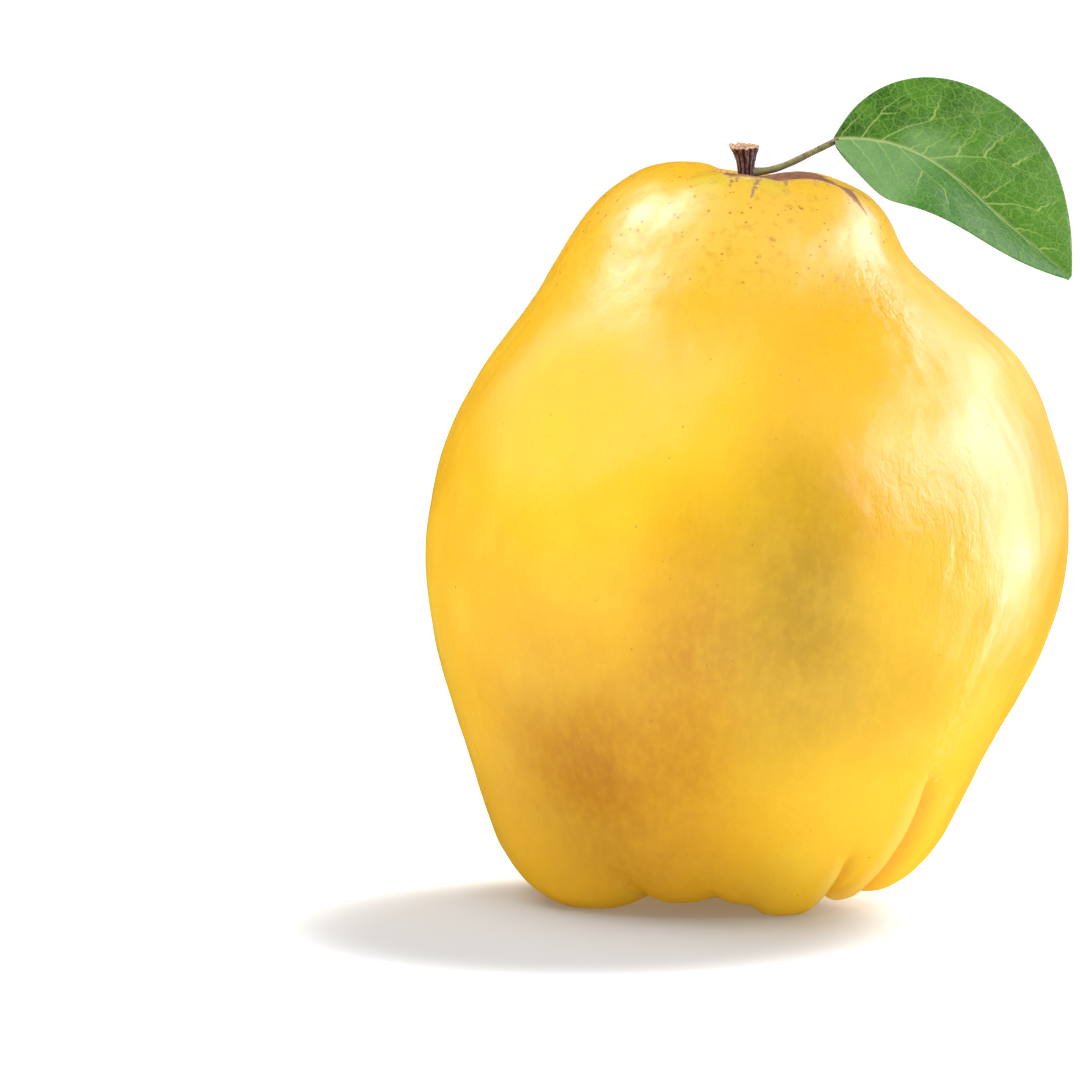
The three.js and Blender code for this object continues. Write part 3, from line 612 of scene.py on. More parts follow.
# The peg: a ring of rounded ribs with narrow grooves between, carried up the stations, roughened by
# noise that is stretched along the wood, then in over the cut face, which slants, is hollow and torn.
def makeStub(material):
    turn = np.linspace(0, 2 * math.pi, stub["sides"], endpoint=False)
    stations = np.array(stub["stations"])
    share = np.linspace(0, 1, stub["rows"])
    height, radius, lean = pathAt(stations, share).T[..., None]
    wander = 0.35 * np.sin(2 * turn + 0.35 * height) + 0.2 * np.sin(3 * turn - 0.22 * height)
    rib = np.abs(np.cos(0.5 * stub["ribs"] * turn + wander)) ** 0.65
    circle = np.stack([np.cos(turn), np.sin(turn), np.zeros_like(turn)], -1)
    wood = circle[None] * radius[..., None] + np.array([0, 0, 1]) * height[..., None]
    rough = 0.05 * unevenness(wood, 0.55, 21, (1, 1, 0.18)) + 0.035 * unevenness(wood, 0.3, 22)
    reach = radius + stub["ribHeight"] * (2 * rib - 1.3) + rough
    side = circle[None] * reach[..., None]
    side[..., 0] += lean
    side[..., 2] = height + 0.12 * unevenness(wood, 0.8, 23) * smooth(share, 0.9, 1)[:, None]
    side[..., 2] += stub["tilt"] * side[..., 1] * smooth(share, 0.7, 1)[:, None]  # the cut slants to the front
    inward = np.linspace(0, 0.98, stub["capRows"])[1:, None]
    face = side[-1][None] * (1 - inward[..., None])
    face[..., 0] += lean[-1] * inward
    torn = 0.10 * unevenness(face, 0.5, 24) + 0.05 * unevenness(face, 0.22, 25)
    drop = stub["dish"] * smooth(inward, 0.12, 0.75) - 0.06 * np.sin(math.pi * np.clip(inward / 0.2, 0, 1))
    face[..., 2] = side[-1, :, 2] * (1 - inward) + stations[-1, 0] * inward - drop + torn
    grid = np.concatenate([side, face])
    ends = [[stations[0, 2], 0, stations[0, 0]], [stations[-1, 2], 0, stations[-1, 0] - stub["dish"]]]
    groove = np.concatenate([rib, np.zeros_like(torn) + 0.5])
    cut = np.concatenate([smooth(share, 0.955, 0.99)[:, None] + 0 * rib, np.ones_like(torn)])
    heart = np.concatenate([0 * rib, smooth(inward, 0.25, 0.6) + 0 * torn])
    marks = {"rib": np.append(groove, [0, 0]), "cut": np.append(cut, [0, 1]), "heart": np.append(heart, [0, 1])}
    return addPiece("stem_wood", roundBody(grid, *ends), "stem_stub", [material], marks)


# Dark bark with pale lines on the ribs as a painted highlight, reddish beads in the grooves, fibres on the cut,
# and a heart.
def woodMaterial():
    r = Recipe("stem wood")
    p = r.place
    along = r.scaled(p, (1, 1, 0.22))
    ribShare = r.band(r.mark("rib"), 0.35, 0.95)
    colour = r.mix(r.times(r.noise(along, 0.5, 4, 0.6), ribShare), stub["dark"], stub["brown"])
    # painted highlight: pale streaks along the ribs
    pale = r.times(ribShare, r.band(r.noise(along, 0.35, 3, 0.6), 0.38, 0.62))
    colour = r.mix(r.times(pale, 0.8), colour, stub["pale"])
    beads = r.band(r.cells(p, 0.28), 0.1, 0.5, 1.0, 0.0)
    groove = r.times(r.math("SUBTRACT", 1.0, ribShare), beads)
    colour = r.mix(r.times(groove, 0.9), colour, stub["groove"])
    fibre = r.mix(r.band(r.noise(p, 0.3, 4, 0.7), 0.35, 0.6), stub["fibreDark"], stub["fibre"])
    colour = r.mix(r.mark("cut"), colour, fibre)
    heart = r.mix(r.band(r.noise(p, 0.4, 4, 0.7), 0.35, 0.62), stub["heartDark"], stub["heart"])
    colour = r.mix(r.mark("heart"), colour, heart)
    grain = r.times(r.noise(along, 0.25, 4, 0.6), 0.12)
    return r.finish(Base_Color=colour, Roughness=0.7, Normal=r.relief(grain), Specular_IOR_Level=0.35)


makeStub(woodMaterial())


# The leaf's stalk: its path from beside the stub to the blade, its radius at the foot, how much thicker
# it is right there, its radius at the end, and how deep the groove along it is.
stalk = {
    "path": [(0.2, 0.2, 105.75), (2.9, 0.85, 105.95), (5.6, 1.7, 106.75), (8.9, 2.6, 108.35),
             (13.2, 3.55, 110.35)],
    "foot": 0.62, "swollenBy": 0.10, "end": 0.5, "groove": 0.12, "rows": 120, "sides": 40,
    "greenDark": rgb(0.24, 0.27, 0.07), "green": rgb(0.44, 0.44, 0.17),
    "brownDark": rgb(0.075, 0.055, 0.025), "brown": rgb(0.16, 0.12, 0.05),
}


# A tube along a path: circles square to the path, their radius given row by row and side by side.
def tubeGrid(path, radius, rows, sides):
    share = np.linspace(0, 1, rows)
    turn = np.linspace(0, 2 * math.pi, sides, endpoint=False)
    ahead = pathDirection(path, share)
    right = unit(np.cross(ahead, [0, 1, 0]))[:, None]
    up = np.cross(ahead[:, None], right)
    radius = radius(share[:, None], turn[None])[..., None]
    return pathAt(path, share)[:, None] + radius * (np.cos(turn)[:, None] * right + np.sin(turn)[:, None] * up)


# A tube that narrows from its foot, swollen at the foot, with a shallow groove along its upper side and
# slow bumps. Its chart runs along it and round it.
def makeStalk(material):
    def radius(share, turn):
        plain = stalk["foot"] + (stalk["end"] - stalk["foot"]) * share
        plain = plain + stalk["swollenBy"] * np.exp(-(share / 0.09) ** 2)
        groove = stalk["groove"] * np.exp(-(np.cos((turn - math.pi) / 2) / 0.35) ** 2)
        return plain - groove * smooth(share, 0.05, 0.3) + 0.018 * np.sin(23 * share + 2 * turn)

    grid = tubeGrid(stalk["path"], radius, stalk["rows"], stalk["sides"])
    share = np.linspace(0, 1, stalk["rows"])[:, None] + np.zeros(stalk["sides"])
    turn = np.linspace(0, 2 * math.pi, stalk["sides"], endpoint=False)[None] + 0 * share
    chart = np.stack([share * 11, turn * 0.5], -1).reshape(-1, 2)
    chart = np.concatenate([chart, [[0, 0], [11, 0]]])
    body = roundBody(grid, stalk["path"][0], stalk["path"][-1])
    return addPiece("leaf_petiole", body, "leaf_stalk", [material],
                    {"along": np.append(share, [0, 1])}, chart)


# Olive green that turns brown towards the blade, and browner underneath as painted shade.
def stalkMaterial():
    r = Recipe("leaf stalk")
    p = r.place
    green = r.mix(r.noise(p, 1.6, 3), stalk["greenDark"], stalk["green"])
    brown = r.mix(r.noise(p, 0.7, 3), stalk["brownDark"], stalk["brown"])
    blotches = r.band(r.noise(p, 0.8, 4), 0.4, 0.7, -0.2, 0.5)
    browned = r.plus(r.band(r.mark("along"), 0.25, 1.0, 0, 0.55), blotches)
    colour = r.mix(r.math("MAXIMUM", browned, 0.0, True), green, brown)
    # painted shade: where the stalk faces down it is mixed towards brown
    normal = r.add("ShaderNodeNewGeometry").outputs["Normal"]
    faceUp = r.add("ShaderNodeSeparateXYZ", {0: normal}).outputs[2]
    colour = r.mix(r.band(faceUp, -0.8, 0.1, 0.6, 0.0), colour, brown)  # browner underneath
    down = r.times(r.noise(r.chart, 0.35, 3, 0.6), 0.05)
    return r.finish(Base_Color=colour, Roughness=0.55, Normal=r.relief(down), Sheen_Weight=0.15)


makeStalk(stalkMaterial())


# The leaf: its midrib, then the two halves. lean turns a half out of the upright plane along the midrib,
# in degrees at the base and at the tip. veins lists side veins as (share along, share across) points.
leaf = {
    "midrib": [(12.4, 3.4, 110.4), (16.2, 3.8, 110.6), (20.6, 4.0, 110.0), (25.2, 3.9, 108.3),
               (29.8, 3.5, 105.3), (34.4, 2.8, 101.4), (38.9, 1.8, 97.3), (43.3, 0.7, 93.6),
               (47.1, -0.6, 90.3)],
    # the midrib's length, how far a half arches, waves at its margin, swells between veins and sinks on
    # them, the thickness, the midrib's depth and half-width underneath, and where along it the blade ends
    "length": 41.9, "arch": 0.6, "wave": 0.5, "swell": 0.11, "sink": 0.05,
    "thickness": 0.34, "ribDepth": 0.6, "ribWidth": 0.6, "ends": (0.008, 0.994),
    "rows": 320, "columns": 64,
    # colours: the upper side from dark to light, near the base and near the tip, then the same for the
    # half that is nearer the camera, whose paler, bluer green is partly its own and partly a painted sheen
    "base": (rgb(0.014, 0.090, 0.004), rgb(0.055, 0.190, 0.010)),
    "tip": (rgb(0.060, 0.200, 0.014), rgb(0.105, 0.280, 0.024)),
    "nearHalf": (rgb(0.105, 0.250, 0.080), rgb(0.190, 0.370, 0.140)),
    "nearTip": (rgb(0.028, 0.165, 0.016), rgb(0.055, 0.225, 0.036)),
    # satin: a painted sheen on the far half beside the midrib
    "paintedSheen": rgb(0.26, 0.46, 0.18),  # where the far half shines beside the midrib
    "speckle": rgb(0.24, 0.46, 0.07), "net": rgb(0.36, 0.56, 0.10), "vein": rgb(0.46, 0.60, 0.16),
    "midribGreen": rgb(0.58, 0.68, 0.30),
    "under": (rgb(0.26, 0.36, 0.17), rgb(0.36, 0.46, 0.25)), "underNet": rgb(0.52, 0.58, 0.36),
    "underVein": rgb(0.62, 0.66, 0.40), "wool": rgb(0.60, 0.64, 0.50),
    "far": {
        "width": 15.0, "lean": (24, 30), "fullest": 0.515, "fullness": 0.95, "wave": 0.6,
        "veins": [
            [(0.03, 0.02), (0.06, 0.50), (0.11, 0.58), (0.14, 0.68), (0.19, 0.86)],
            [(0.13, 0.02), (0.18, 0.35), (0.20, 0.49), (0.23, 0.65), (0.27, 0.74), (0.31, 0.83), (0.36, 0.91)],
            [(0.20, 0.49), (0.25, 0.44), (0.28, 0.52)],
            [(0.22, 0.01), (0.26, 0.18), (0.31, 0.29), (0.36, 0.42), (0.41, 0.56), (0.45, 0.64), (0.48, 0.82)],
            [(0.36, 0.42), (0.36, 0.58), (0.36, 0.72), (0.35, 0.86)],
            [(0.33, 0.01), (0.36, 0.11), (0.39, 0.17)],
            [(0.38, 0.02), (0.39, 0.15), (0.41, 0.21), (0.43, 0.42), (0.44, 0.60)],
            [(0.41, 0.02), (0.48, 0.18), (0.54, 0.37), (0.62, 0.52), (0.68, 0.65), (0.73, 0.78), (0.78, 0.98)],
            [(0.54, 0.37), (0.54, 0.57), (0.55, 0.70), (0.58, 0.88)],
            [(0.48, 0.18), (0.47, 0.28), (0.48, 0.46), (0.48, 0.60)],
            [(0.62, 0.53), (0.63, 0.72), (0.65, 0.90)],
            [(0.62, 0.03), (0.63, 0.18), (0.64, 0.32), (0.65, 0.48)],
            [(0.64, 0.02), (0.69, 0.20), (0.73, 0.34), (0.76, 0.43), (0.80, 0.53), (0.86, 0.71), (0.88, 0.88)],
            [(0.76, 0.43), (0.78, 0.72), (0.80, 0.98)],
            [(0.75, 0.02), (0.78, 0.12), (0.82, 0.24), (0.88, 0.40)],
            [(0.85, 0.04), (0.88, 0.26), (0.91, 0.48), (0.94, 0.66)],
        ],
    },
    "near": {
        "width": 13.0, "lean": (46, 64), "fullest": 0.42, "fullness": 0.8, "wave": 2.2,
        "veins": [
            [(0.08, 0.02), (0.10, 0.19), (0.14, 0.44), (0.16, 0.53), (0.20, 0.69), (0.25, 0.86)],
            [(0.20, 0.02), (0.23, 0.22), (0.27, 0.42), (0.31, 0.60), (0.36, 0.82)],
            [(0.29, 0.02), (0.34, 0.19), (0.41, 0.31), (0.51, 0.43), (0.58, 0.51), (0.64, 0.60), (0.71, 0.80)],
            [(0.41, 0.32), (0.41, 0.54), (0.42, 0.72), (0.44, 0.88)],
            [(0.51, 0.43), (0.54, 0.62), (0.58, 0.84)],
            [(0.50, 0.02), (0.58, 0.10), (0.62, 0.17), (0.66, 0.28), (0.72, 0.38), (0.80, 0.62)],
            [(0.68, 0.02), (0.75, 0.16), (0.81, 0.34), (0.88, 0.60)],
            [(0.80, 0.02), (0.86, 0.20), (0.92, 0.50)],
        ],
    },
}


# The width of a half blade as a share of its fullest: a bent half sine wave, from base to tip.
def leafOutline(share, half):
    bent = np.clip(share, 0, 1) ** (math.log(0.5) / math.log(half["fullest"]))
    return np.maximum(np.sin(math.pi * bent), 0) ** half["fullness"]


# One half of the blade: out from the midrib at the half's lean, with an arch between midrib and margin
# and a slow wave along the margin. Also gives the way it faces, and its chart, the half laid out flat.
def leafHalf(share, across, half, sign):
    ahead = pathDirection(leaf["midrib"], share)
    up = unit(np.cross(ahead, [0, 1, 0]))
    back = np.cross(up, ahead)
    first, last = half["lean"]
    lean = (last + (first - last) * (1 - share) ** 2.2)[:, None] * degree
    spread = sign * (np.cos(lean) * up + np.sin(lean) * back)
    face = sign * np.cross(ahead, spread)
    width = leafOutline(share, half)[:, None]
    wave = leaf["wave"] * across ** 2 * np.sin(9 * share[:, None] + half["wave"])
    bulge = leaf["arch"] * np.sin(math.pi * across) + wave
    reach = across * half["width"] * width
    points = pathAt(leaf["midrib"], share)[:, None] + reach[..., None] * spread[:, None]
    points = points + (bulge * width)[..., None] * face[:, None]
    chart = np.stack([share[:, None] * leaf["length"] + 0 * reach, sign * reach], -1)
    return points, np.broadcast_to(face[:, None], points.shape), chart


# How near a point of the chart lies to the veins: 1 on a vein, falling off over its width, and the
# distance to the nearest one. Veins narrow towards their ends.
def veinFields(chart, half, sign):
    near, distance = np.zeros(chart.shape[:-1]), np.full(chart.shape[:-1], 99.0)
    share = np.linspace(0, 1, 26)
    for k, vein in enumerate(half["veins"]):
        line = pathAt(vein, share)
        x = line[:, 0] * leaf["length"]
        y = sign * line[:, 1] * half["width"] * leafOutline(line[:, 0], half)
        x = x + 0.10 * np.sin(26 * share + k)
        for i in range(len(share) - 1):
            start, step = np.array([x[i], y[i]]), np.array([x[i + 1] - x[i], y[i + 1] - y[i]])
            away = chart - start
            along = np.clip((away @ step) / (step @ step), 0, 1)
            gap = np.linalg.norm(away - along[..., None] * step, axis=-1)
            width = 0.19 - 0.08 * share[i]
            near = np.maximum(near, np.exp(-(gap / width) ** 2) * (1 - 0.45 * share[i]))
            distance = np.minimum(distance, gap)
    return near, distance


# The blade: upper and lower grids from the two halves. Veins are sunk into the upper side, the blade
# swells between them, and the midrib stands out underneath.
def makeLeaf(upperMaterial, underMaterial):
    share = np.linspace(*leaf["ends"], leaf["rows"])
    across = (np.arange(1, leaf["columns"] + 1) / leaf["columns"]) ** 1.1
    parts = {}
    for name, sign, steps in (("near", -1, across[::-1]), ("far", 1, np.append(0, across))):
        points, face, chart = leafHalf(share, steps[None] + 0 * share[:, None], leaf[name], sign)
        near, distance = veinFields(chart, leaf[name], sign)
        parts[name] = [points, face, chart, near, distance, sign * (steps[None] + 0 * share[:, None])]
    joined = (np.concatenate(pair, 1) for pair in zip(parts["near"], parts["far"]))
    points, face, chart, near, distance, t = joined
    middle = leaf["columns"]
    face[:, middle] = unit(face[:, middle - 1] + face[:, middle + 1])
    away = np.abs(chart[..., 1])
    rib = np.exp(-(away / 0.30) ** 2) * (1 - 0.6 * share[:, None])
    distance = np.minimum(distance, away)
    swell = 1 - np.exp(-(distance / 0.9) ** 2)
    flat = np.stack([chart[..., 0], chart[..., 1], 0 * away], -1)
    edgeFade = smooth(1 - np.abs(t), 0.0, 0.12)
    relief = leaf["swell"] * swell - leaf["sink"] * near + 0.025 * unevenness(flat, 2.6, 31)
    relief = edgeFade * (relief + 0.06 * unevenness(flat, 12, 32))
    upper = points + face * (relief - 0.10 * rib)[..., None]
    keel = leaf["ribDepth"] * np.exp(-(away / leaf["ribWidth"]) ** 2) * (1 - 0.7 * share[:, None])
    thickness = leaf["thickness"] * (1 - 0.4 * np.abs(t) ** 6) + keel + 0.10 * near - 0.6 * relief
    body = sheetBody(upper, points - face * thickness[..., None])
    along = chart[..., 0] / leaf["length"]
    marks = {name: np.concatenate([values.ravel()] * 2)
             for name, values in (("vein", near), ("rib", rib), ("across", t), ("along", along))}
    kinds = np.repeat([0, 1, 0], [len(group) for group in body[1]])  # upper side, underside, edge
    print("leaf grid of", away.size, "points a side")
    return addPiece("leaf_blade_fine", body, "leaf_blade", [upperMaterial, underMaterial], marks,
                    np.concatenate([chart.reshape(-1, 2)] * 2), kinds)


# Above: green in blotches, speckled, with a net of cells for the fine veins, a painted sheen beside the midrib
# on the far half, and a near half whose paler, bluer green is partly a painted sheen. Below: paler, and woolly.
def leafMaterial(upper):
    r = Recipe("leaf upper side" if upper else "leaf underside")
    c = r.chart
    jitter = r.add("ShaderNodeTexNoise", {"Vector": c, "Scale": 0.9, "Detail": 2.0}).outputs["Color"]
    jitter = r.scaled(jitter, (0.35, 0.35, 0))
    bent = r.add("ShaderNodeVectorMath", {0: c, 1: jitter}, operation="ADD").outputs[0]
    coarse = r.band(r.cells(bent, 1.5, "DISTANCE_TO_EDGE"), 0.012, 0.055, 1.0, 0.0)
    fine = r.band(r.cells(bent, 0.55, "DISTANCE_TO_EDGE"), 0.02, 0.14, 1.0, 0.0)
    veins = r.math("MAXIMUM", r.mark("vein"), r.mark("rib"))
    share = r.mark("along")
    nearHalf = r.band(r.mark("across"), -0.01, 0.01, 1.0, 0.0)
    if upper:
        base = r.mix(r.band(r.noise(c, 6, 3), 0.35, 0.65), *leaf["base"])
        tip = r.mix(r.noise(c, 4, 3), *leaf["tip"])
        colour = r.mix(r.band(share, 0.1, 0.9, 0.0, 0.85), base, tip)
        # a painted sheen on the far half beside the midrib
        paintedSheen = r.times(r.band(share, 0.24, 0.34), r.band(share, 0.38, 0.58, 1.0, 0.0))
        paintedSheen = r.times(paintedSheen, r.band(r.mark("across"), 0.15, 0.45, 0.55, 0.0))
        colour = r.mix(paintedSheen, colour, leaf["paintedSheen"])
        # the near half's paler, bluer green: partly its own colour, partly a painted sheen
        near = r.mix(r.noise(c, 5, 3), *leaf["nearHalf"])
        near = r.mix(r.band(share, 0.34, 0.50), near, r.mix(r.noise(c, 5, 3), *leaf["nearTip"]))
        colour = r.mix(nearHalf, colour, near)
        colour = r.mix(r.band(r.noise(c, 0.4, 3, 0.6), 0.4, 0.8, 0.0, 0.25), colour, leaf["speckle"])
        net = r.math("MAXIMUM", coarse, r.times(fine, 0.45))
        colour = r.mix(r.times(net, 0.30), colour, leaf["net"])
        colour = r.mix(r.times(r.band(veins, 0.35, 0.9), 0.6), colour, leaf["vein"])
        colour = r.mix(r.times(r.mark("rib"), 0.6), colour, leaf["midribGreen"])
        height = r.plus(r.times(r.noise(c, 0.35, 2), 0.02), r.times(net, -0.015))
        return r.finish(Base_Color=colour, Roughness=0.45, Normal=r.relief(height), Specular_IOR_Level=0.14,
                        Subsurface_Weight=0.1, Subsurface_Radius=(0.4, 1.0, 0.2), Subsurface_Scale=0.0008)
    colour = r.mix(r.noise(c, 4, 3), *leaf["under"])
    colour = r.mix(r.times(coarse, 0.6), colour, leaf["underNet"])
    colour = r.mix(r.band(veins, 0.2, 0.8), colour, leaf["underVein"])
    wool = r.noise(c, 0.22, 3, 0.7)
    colour = r.mix(r.band(wool, 0.4, 0.7, 0.0, 0.4), colour, leaf["wool"])
    height = r.plus(r.times(wool, 0.05), r.times(coarse, 0.06))
    return r.finish(Base_Color=colour, Roughness=0.8, Normal=r.relief(height), Sheen_Weight=0.5,
                    Specular_IOR_Level=0.25)


makeLeaf(leafMaterial(True), leafMaterial(False))


# The calyx: the cup's outline as (radius, height) corners, and the sepals. turn is the azimuth of the
# first, path is drawn for one that points along +X, and trough is how far the edges bend to the underside.
calyx = {
    "cup": [(2.5, 12.4), (3.7, 12.4), (3.7, 16.6), (2.5, 16.6)], "sepals": 5, "turn": 24,
    "path": [(3.0, 0, 13.3), (5.2, 0, 12.2), (7.4, 0, 10.4), (9.2, 0, 7.9), (10.2, 0, 5.2)],
    "halfWidth": 2.5, "thickness": 0.42, "teeth": 6, "toothDepth": 0.16, "trough": 0.7,
    "rows": 90, "columns": 14,
    "green": rgb(0.13, 0.17, 0.055), "brown": rgb(0.23, 0.17, 0.075), "tipBrown": rgb(0.12, 0.070, 0.035),
    "down": rgb(0.42, 0.38, 0.24),
}


# A closed ring turned about the axis from an outline of (radius, height) corners.
def turnedBody(outline, sides):
    turn = np.linspace(0, 2 * math.pi, sides, endpoint=False)
    radius, height = np.array(outline, float).T
    radius, height = radius[:, None], height[:, None]
    grid = np.stack([radius * np.cos(turn), radius * np.sin(turn), height + 0 * turn], -1)
    faces = gridFaces(len(grid) + 1, sides, True) % (len(grid) * sides)  # the last row is the first again
    return grid.reshape(-1, 3), [faces]


# One sepal: a trough along its path, widest near its foot, toothed at the edge, pointed and curled at
# the tip, with a raised middle vein and puckered sides.
def sepalBody(turn, seed):
    share = np.linspace(0, 1, calyx["rows"])
    centre, ahead = pathAt(calyx["path"], share), pathDirection(calyx["path"], share)
    under = -np.cross(ahead, [0, 1, 0])
    tooth = 1 - calyx["toothDepth"] * (1 - (share * calyx["teeth"]) % 1)
    tooth = np.where((share > 0.15) & (share < 0.95), tooth, 1)
    taper = np.maximum(np.sin(math.pi * (0.22 + 0.78 * share) ** 0.75), 0) ** 0.9
    half = 0.18 + calyx["halfWidth"] * taper * tooth
    t = np.linspace(-1, 1, 2 * calyx["columns"] + 1)[None]
    sag = calyx["trough"] * t ** 2 * (half / calyx["halfWidth"])[:, None]
    points = centre[:, None] + under[:, None] * sag[..., None]
    points[..., 1] = t * half[:, None]
    pucker = 0.16 * unevenness(points, 1.6, seed) + 0.06 * unevenness(points, 0.6, seed + 1)
    pucker = pucker * smooth(share, 0.1, 0.4)[:, None] - 0.16 * np.exp(-(t * half[:, None] / 0.25) ** 2)
    points = points + under[:, None] * pucker[..., None]
    upper = points
    lower = points + under[:, None] * (calyx["thickness"] * (1 - 0.5 * t ** 4))[..., None]
    points, faces = sheetBody(upper, lower)
    spin = np.array([[math.cos(turn), math.sin(turn), 0], [-math.sin(turn), math.cos(turn), 0], [0, 0, 1]])
    return points @ spin, faces


# The cup, and the sepals spread evenly round it.
def makeCalyx(material):
    bodies = [turnedBody(calyx["cup"], 72)]
    for k in range(calyx["sepals"]):
        bodies.append(sepalBody((calyx["turn"] + 360 / calyx["sepals"] * k) * degree, 40 + 3 * k))
    return addPiece("calyx_sepals_fine", together(bodies), "calyx_sepals", [material])


# Green to brown, brown at the tips, under pale down.
def calyxMaterial():
    r = Recipe("dried calyx")
    p = r.place
    colour = r.mix(r.band(r.noise(p, 2.2, 4), 0.35, 0.65), calyx["green"], calyx["brown"])
    far = r.add("ShaderNodeVectorMath", {0: r.scaled(p, (1, 1, 0))}, operation="LENGTH").outputs["Value"]
    colour = r.mix(r.band(far, 6.5, 10.5, 0.0, 0.7), colour, calyx["tipBrown"])
    down = r.noise(p, 0.3, 3, 0.7)
    colour = r.mix(r.band(down, 0.45, 0.7, 0.0, 0.5), colour, calyx["down"])
    return r.finish(Base_Color=colour, Roughness=0.85, Normal=r.relief(r.times(down, 0.12)),
                    Sheen_Weight=0.4, Specular_IOR_Level=0.25)


makeCalyx(calyxMaterial())


# The stamens: the outline of the disc that they hang from, as (radius, height) corners, their radii at the
# root and at the end, their least and greatest length, how much the anther swells, how far from the axis
# the outermost starts, and the height of the disc's lower face.
stamens = {
    "disc": [(3.4, 19.1), (3.5, 17.6), (3.3, 17.05), (1.6, 16.95)], "count": 15, "radii": (0.24, 0.16),
    "length": (5.6, 8.2), "anther": 0.24, "spread": 1.75, "low": 17.0, "seed": 41,
    "dark": rgb(0.035, 0.020, 0.014), "brown": rgb(0.16, 0.095, 0.055),
}


# Threads that hang out of the cup at golden-angle steps, each bending outwards, with a shrivelled
# anther at its end.
def makeStamens(material):
    random = np.random.default_rng(stamens["seed"])
    middle = (0, 0, stamens["low"] - 0.1)
    turn = np.linspace(0, 2 * math.pi, 60, endpoint=False)
    outline = np.array(stamens["disc"])
    discRadius, discHeight = outline[:, :1], outline[:, 1:]
    disc = np.stack([discRadius * np.cos(turn), discRadius * np.sin(turn), discHeight + 0 * turn], -1)
    bodies = [roundBody(disc, (0, 0, outline[0, 1]), middle)]
    for k in range(stamens["count"]):
        angle = k * 137.5 * degree
        root = stamens["spread"] * math.sqrt((k + 0.5) / stamens["count"])
        short, long = stamens["length"]
        length = short + (long - short) * random.random()
        bend = 0.5 * (random.random() - 0.5)
        lean = 0.1 + 0.75 * root / stamens["spread"] * random.random()
        path = []
        for share, out in ((0, 0), (0.35, 0), (0.7, 0.5 * lean), (1, 2.2 * lean)):
            way = angle + bend * share
            height = stamens["low"] + 0.6 - length * share
            path.append(((root + out) * math.cos(way), (root + out) * math.sin(way), height))

        def radius(share, turn):
            thread = stamens["radii"][0] + (stamens["radii"][1] - stamens["radii"][0]) * share
            anther = stamens["anther"] * np.exp(-((share - 0.94) / 0.055) ** 2) * (1 + 0.3 * np.cos(2 * turn))
            return thread * (1 + 0.15 * np.sin(31 * share + 3 * turn + k)) + anther

        grid = tubeGrid(path, radius, 44, 12)
        bodies.append(roundBody(grid, path[0], path[-1]))
    return addPiece("dried_stamens_fine", together(bodies), "dried_stamens", [material])


# Withered brown in blotches.
def stamenMaterial():
    r = Recipe("dried stamens")
    p = r.place
    colour = r.mix(r.noise(p, 0.8, 4), stamens["dark"], stamens["brown"])
    return r.finish(Base_Color=colour, Roughness=0.9, Normal=r.relief(r.times(r.noise(p, 0.2, 3), 0.08)),
                    Specular_IOR_Level=0.2)


makeStamens(stamenMaterial())


# Each soft box: the azimuth and elevation that it shines from, its distance, width and height in
# metres, its brightness, and whether it lights the surfaces or makes their highlights.
studio = {
    "sky": rgb(0.97, 0.985, 1.0), "skyStrength": 0.38,
    "lamp": rgb(1.0, 1.0, 1.0), "shine": rgb(1.0, 0.74, 1.0), "middle": (0, 0, 0.055),
    # the floor: its paint, its glow near and far, the glow that only the surfaces see, and the shade beside
    # the fruit: its middle, its radii, and the glow that is left in it
    "floor": rgb(0.54, 0.55, 0.56), "floorGlow": (0.98, 1.0), "floorBounce": 0.22,
    "shadeAt": (-24, -29, 0), "shadeRadii": (64, 56, 10), "shadeGlow": 0.10,
    "boxes": {
        "left key": (180, 62, 0.8, 0.60, 0.60, 3.6, "lights"),
        "right key": (57, 14, 0.8, 0.50, 0.60, 8.6, "lights"),
        "side fill": (5, 10, 0.8, 0.50, 0.60, 0.9, "lights"),
        "front fill": (285, 60, 0.9, 0.50, 0.50, 3.1, "lights"),
        "left highlight": (163, 53, 0.75, 0.36, 0.22, 24, "shines"),
        "right highlight": (11, 9, 0.75, 0.42, 0.64, 10.5, "shines"),
        "front wing of it": (-14, 30, 0.75, 0.60, 0.22, 9, "shines"),
        "far front wing of it": (-33, 27, 0.75, 0.28, 0.44, 5, "shines"),
        "back wing of it": (34, 34, 0.75, 0.46, 0.24, 7, "shines"),
        "low right highlight": (10, -18, 0.75, 0.44, 0.38, 8, "shines"),
    },
}


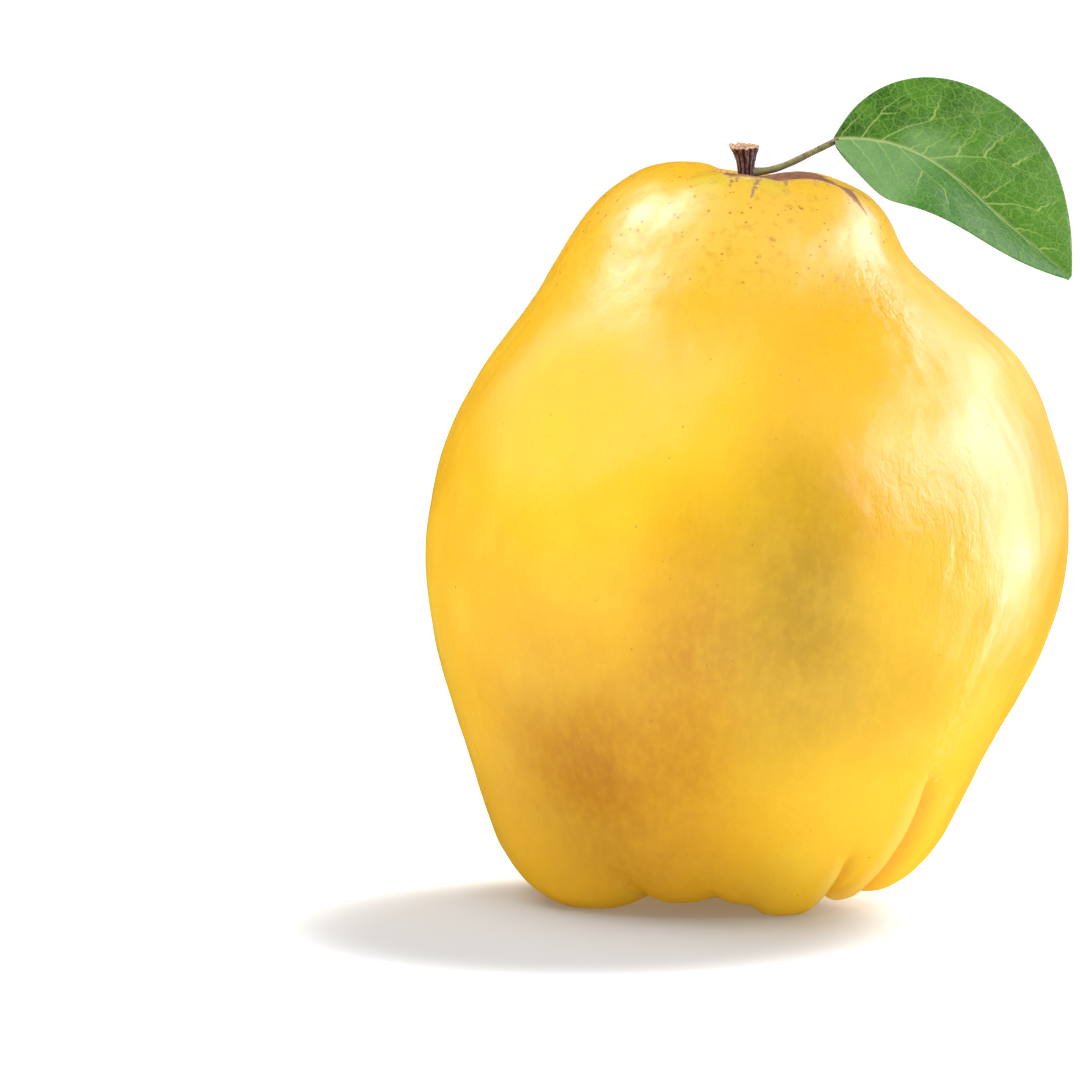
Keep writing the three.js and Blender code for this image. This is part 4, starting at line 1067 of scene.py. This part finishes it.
# A pale floor. It glows a little everywhere but in the shade beside the fruit, and more far off, so that
# it runs out into plain white. It throws back more light than the camera sees of it.
def makeFloor():
    half = 20.0
    mesh = bpy.data.meshes.new("floor")
    corners = [(-half, -half, 0), (half, -half, 0), (half, half, 0), (-half, half, 0)]
    mesh.from_pydata(corners, [], [(0, 1, 2, 3)])
    floor = bpy.data.objects.new("floor", mesh)
    scene.collection.objects.link(floor)
    r = Recipe("pale floor")
    near, far = studio["floorGlow"]
    away = r.add("ShaderNodeVectorMath", {0: r.place}, operation="LENGTH").outputs["Value"]
    beside = r.egg(studio["shadeAt"], studio["shadeRadii"], 0.4)
    shaded = r.band(beside, 0.0, 1.0, near, studio["shadeGlow"])
    strength = r.plus(r.band(away, 150, 900, 0.0, far - near), shaded)
    unseen = r.math("SUBTRACT", 1.0, r.add("ShaderNodeLightPath").outputs["Is Camera Ray"])
    strength = r.plus(strength, r.times(unseen, studio["floorBounce"]))
    glow = r.add("ShaderNodeEmission", {"Color": rgb(1, 1, 1), "Strength": strength})
    paint = r.add("ShaderNodeBsdfDiffuse", {"Color": studio["floor"]})
    both = r.add("ShaderNodeAddShader", {0: glow.outputs[0], 1: paint.outputs[0]})
    r.add("ShaderNodeOutputMaterial", {"Surface": both.outputs[0]})
    mesh.materials.append(r.material)
    floor.visible_glossy = False


# One soft box, turned to the middle of the fruit. Its power is its brightness times pi times its area.
def softBox(name, azimuth, elevation, distance, width, height, brightness, use):
    lamp = bpy.data.lights.new(name, "AREA")
    lamp.shape, lamp.size, lamp.size_y = "RECTANGLE", width, height
    lamp.energy = brightness * math.pi * width * height
    lamp.color = studio["shine" if use == "shines" else "lamp"][:3]
    holder = bpy.data.objects.new(name, lamp)
    scene.collection.objects.link(holder)
    a, e = azimuth * degree, elevation * degree
    out = np.array([math.cos(e) * math.cos(a), math.cos(e) * math.sin(a), math.sin(e)])
    holder.location = out * distance + np.array(studio["middle"])
    holder.rotation_euler = (math.pi / 2 - e, 0, a + math.pi / 2)
    holder.visible_camera = False
    holder.visible_diffuse = use == "lights"
    holder.visible_glossy = use == "shines"


# An even pale sky that gives no reflections, and the soft boxes.
def makeLight():
    sky = bpy.data.worlds.new("studio")
    sky.use_nodes = True
    sky.node_tree.nodes["Background"].inputs["Color"].default_value = studio["sky"]
    sky.node_tree.nodes["Background"].inputs["Strength"].default_value = studio["skyStrength"]
    scene.world = sky
    sky.cycles_visibility.glossy = False
    for name, box in studio["boxes"].items():
        softBox(name, *box)


makeFloor()
makeLight()
scene.view_settings.view_transform = "Standard"
print("studio lit with", len(studio["boxes"]), "soft boxes")
